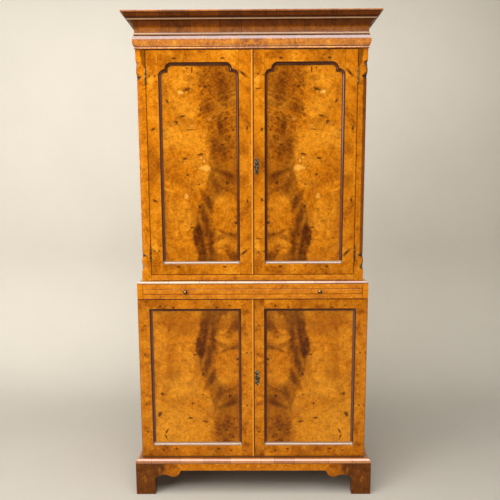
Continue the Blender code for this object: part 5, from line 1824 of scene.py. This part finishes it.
def stage():
    settings = bpy.context.scene.cabinet_stage
    sweep()
    area_light("top_light", (-0.7, -1.5, 3.4), (-0.7, -1.5, 0.0), 4.4, 3.6, settings.top_power)
    area_light("key_light", (-3.0, -2.6, 2.3), (0.0, -0.2, 1.0), 1.6, 1.6, settings.key_power)
    fill = area_light("fill_light", (0.6, -3.2, 0.6), (0.0, -0.2, 0.15), 2.2, 0.8, settings.fill_power)
    fill.visible_glossy = False
    world_light(settings.air)
    camera()
    bpy.context.scene.view_settings.view_transform = "Standard"


# Operators

class CABINET_OT_groups(bpy.types.Operator):
    """Build the shader groups that the finishes share"""

    bl_idname = "cabinet.groups"
    bl_label = "Shared Shader Groups"

    def execute(self, context):
        for build in GROUPS:
            build()
        return {"FINISHED"}


class CABINET_OT_base(bpy.types.Operator):
    """Dress the bracket base"""

    bl_idname = "cabinet.base"
    bl_label = "Bracket Base"

    def execute(self, context):
        bracket_base()
        return {"FINISHED"}


class CABINET_OT_carcase(bpy.types.Operator):
    """Dress the boards and pilasters of both stages"""

    bl_idname = "cabinet.carcase"
    bl_label = "Carcase and Pilasters"

    def execute(self, context):
        carcase()
        return {"FINISHED"}


class CABINET_OT_mouldings(bpy.types.Operator):
    """Run the base, waist, frieze and cornice mouldings"""

    bl_idname = "cabinet.mouldings"
    bl_label = "Mouldings"

    def execute(self, context):
        mouldings()
        return {"FINISHED"}


class CABINET_OT_doors(bpy.types.Operator):
    """Dress the four doors: frames, panels, planted mouldings and meeting beads"""

    bl_idname = "cabinet.doors"
    bl_label = "Doors"

    def execute(self, context):
        doors()
        return {"FINISHED"}


class CABINET_OT_slide(bpy.types.Operator):
    """Dress the pull-out slide and turn its knobs"""

    bl_idname = "cabinet.slide"
    bl_label = "Slide"

    def execute(self, context):
        slide()
        return {"FINISHED"}


class CABINET_OT_shelves(bpy.types.Operator):
    """Grind and finish the glass shelves"""

    bl_idname = "cabinet.shelves"
    bl_label = "Glass Shelves"

    def execute(self, context):
        shelves()
        return {"FINISHED"}


class CABINET_OT_hinges(bpy.types.Operator):
    """Finish the butt hinges and pivots"""

    bl_idname = "cabinet.hinges"
    bl_label = "Hinges and Pivots"

    def execute(self, context):
        hinges()
        return {"FINISHED"}


class CABINET_OT_locks(bpy.types.Operator):
    """Cast the keyhole plates and finish the locks"""

    bl_idname = "cabinet.locks"
    bl_label = "Locks and Keyhole Plates"

    def execute(self, context):
        locks()
        return {"FINISHED"}


class CABINET_OT_screws(bpy.types.Operator):
    """Drive the screws of the hinges and back boards"""

    bl_idname = "cabinet.screws"
    bl_label = "Screws"

    def execute(self, context):
        screws()
        return {"FINISHED"}


class CABINET_OT_stage(bpy.types.Operator):
    """Set the floor, lights and camera"""

    bl_idname = "cabinet.stage"
    bl_label = "Stage"

    def execute(self, context):
        stage()
        return {"FINISHED"}


OPERATORS = (
    CABINET_OT_groups, CABINET_OT_base, CABINET_OT_carcase, CABINET_OT_mouldings, CABINET_OT_doors,
    CABINET_OT_slide, CABINET_OT_shelves, CABINET_OT_hinges, CABINET_OT_locks, CABINET_OT_screws,
    CABINET_OT_stage,
)


class CABINET_PT_panel(bpy.types.Panel):
    """Sidebar list of the cabinet's operators and settings"""

    bl_idname = "CABINET_PT_panel"
    bl_label = "Burr Bar Cabinet"
    bl_space_type = "VIEW_3D"
    bl_region_type = "UI"
    bl_category = "Cabinet"

    def draw(self, context):
        for operator in OPERATORS:
            self.layout.operator(operator.bl_idname)
        for settings in (
            context.scene.cabinet_sizes, context.scene.cabinet_colours, context.scene.cabinet_stage,
        ):
            column = self.layout.column()
            for item in settings.bl_rna.properties:
                if item.identifier not in ("rna_type", "name"):
                    column.prop(settings, item.identifier)


CLASSES = (CabinetSizes, CabinetColours, CabinetStage) + OPERATORS + (CABINET_PT_panel,)


def register():
    for item in CLASSES:
        bpy.utils.register_class(item)
    bpy.types.Scene.cabinet_sizes = PointerProperty(type=CabinetSizes)
    bpy.types.Scene.cabinet_colours = PointerProperty(type=CabinetColours)
    bpy.types.Scene.cabinet_stage = PointerProperty(type=CabinetStage)


def unregister():
    del bpy.types.Scene.cabinet_sizes
    del bpy.types.Scene.cabinet_colours
    del bpy.types.Scene.cabinet_stage
    for item in reversed(CLASSES):
        bpy.utils.unregister_class(item)


def main():
    register()
    for operator in OPERATORS:
        family, name = operator.bl_idname.split(".")
        getattr(getattr(bpy.ops, family), name)()


if __name__ == "__main__":
    main()
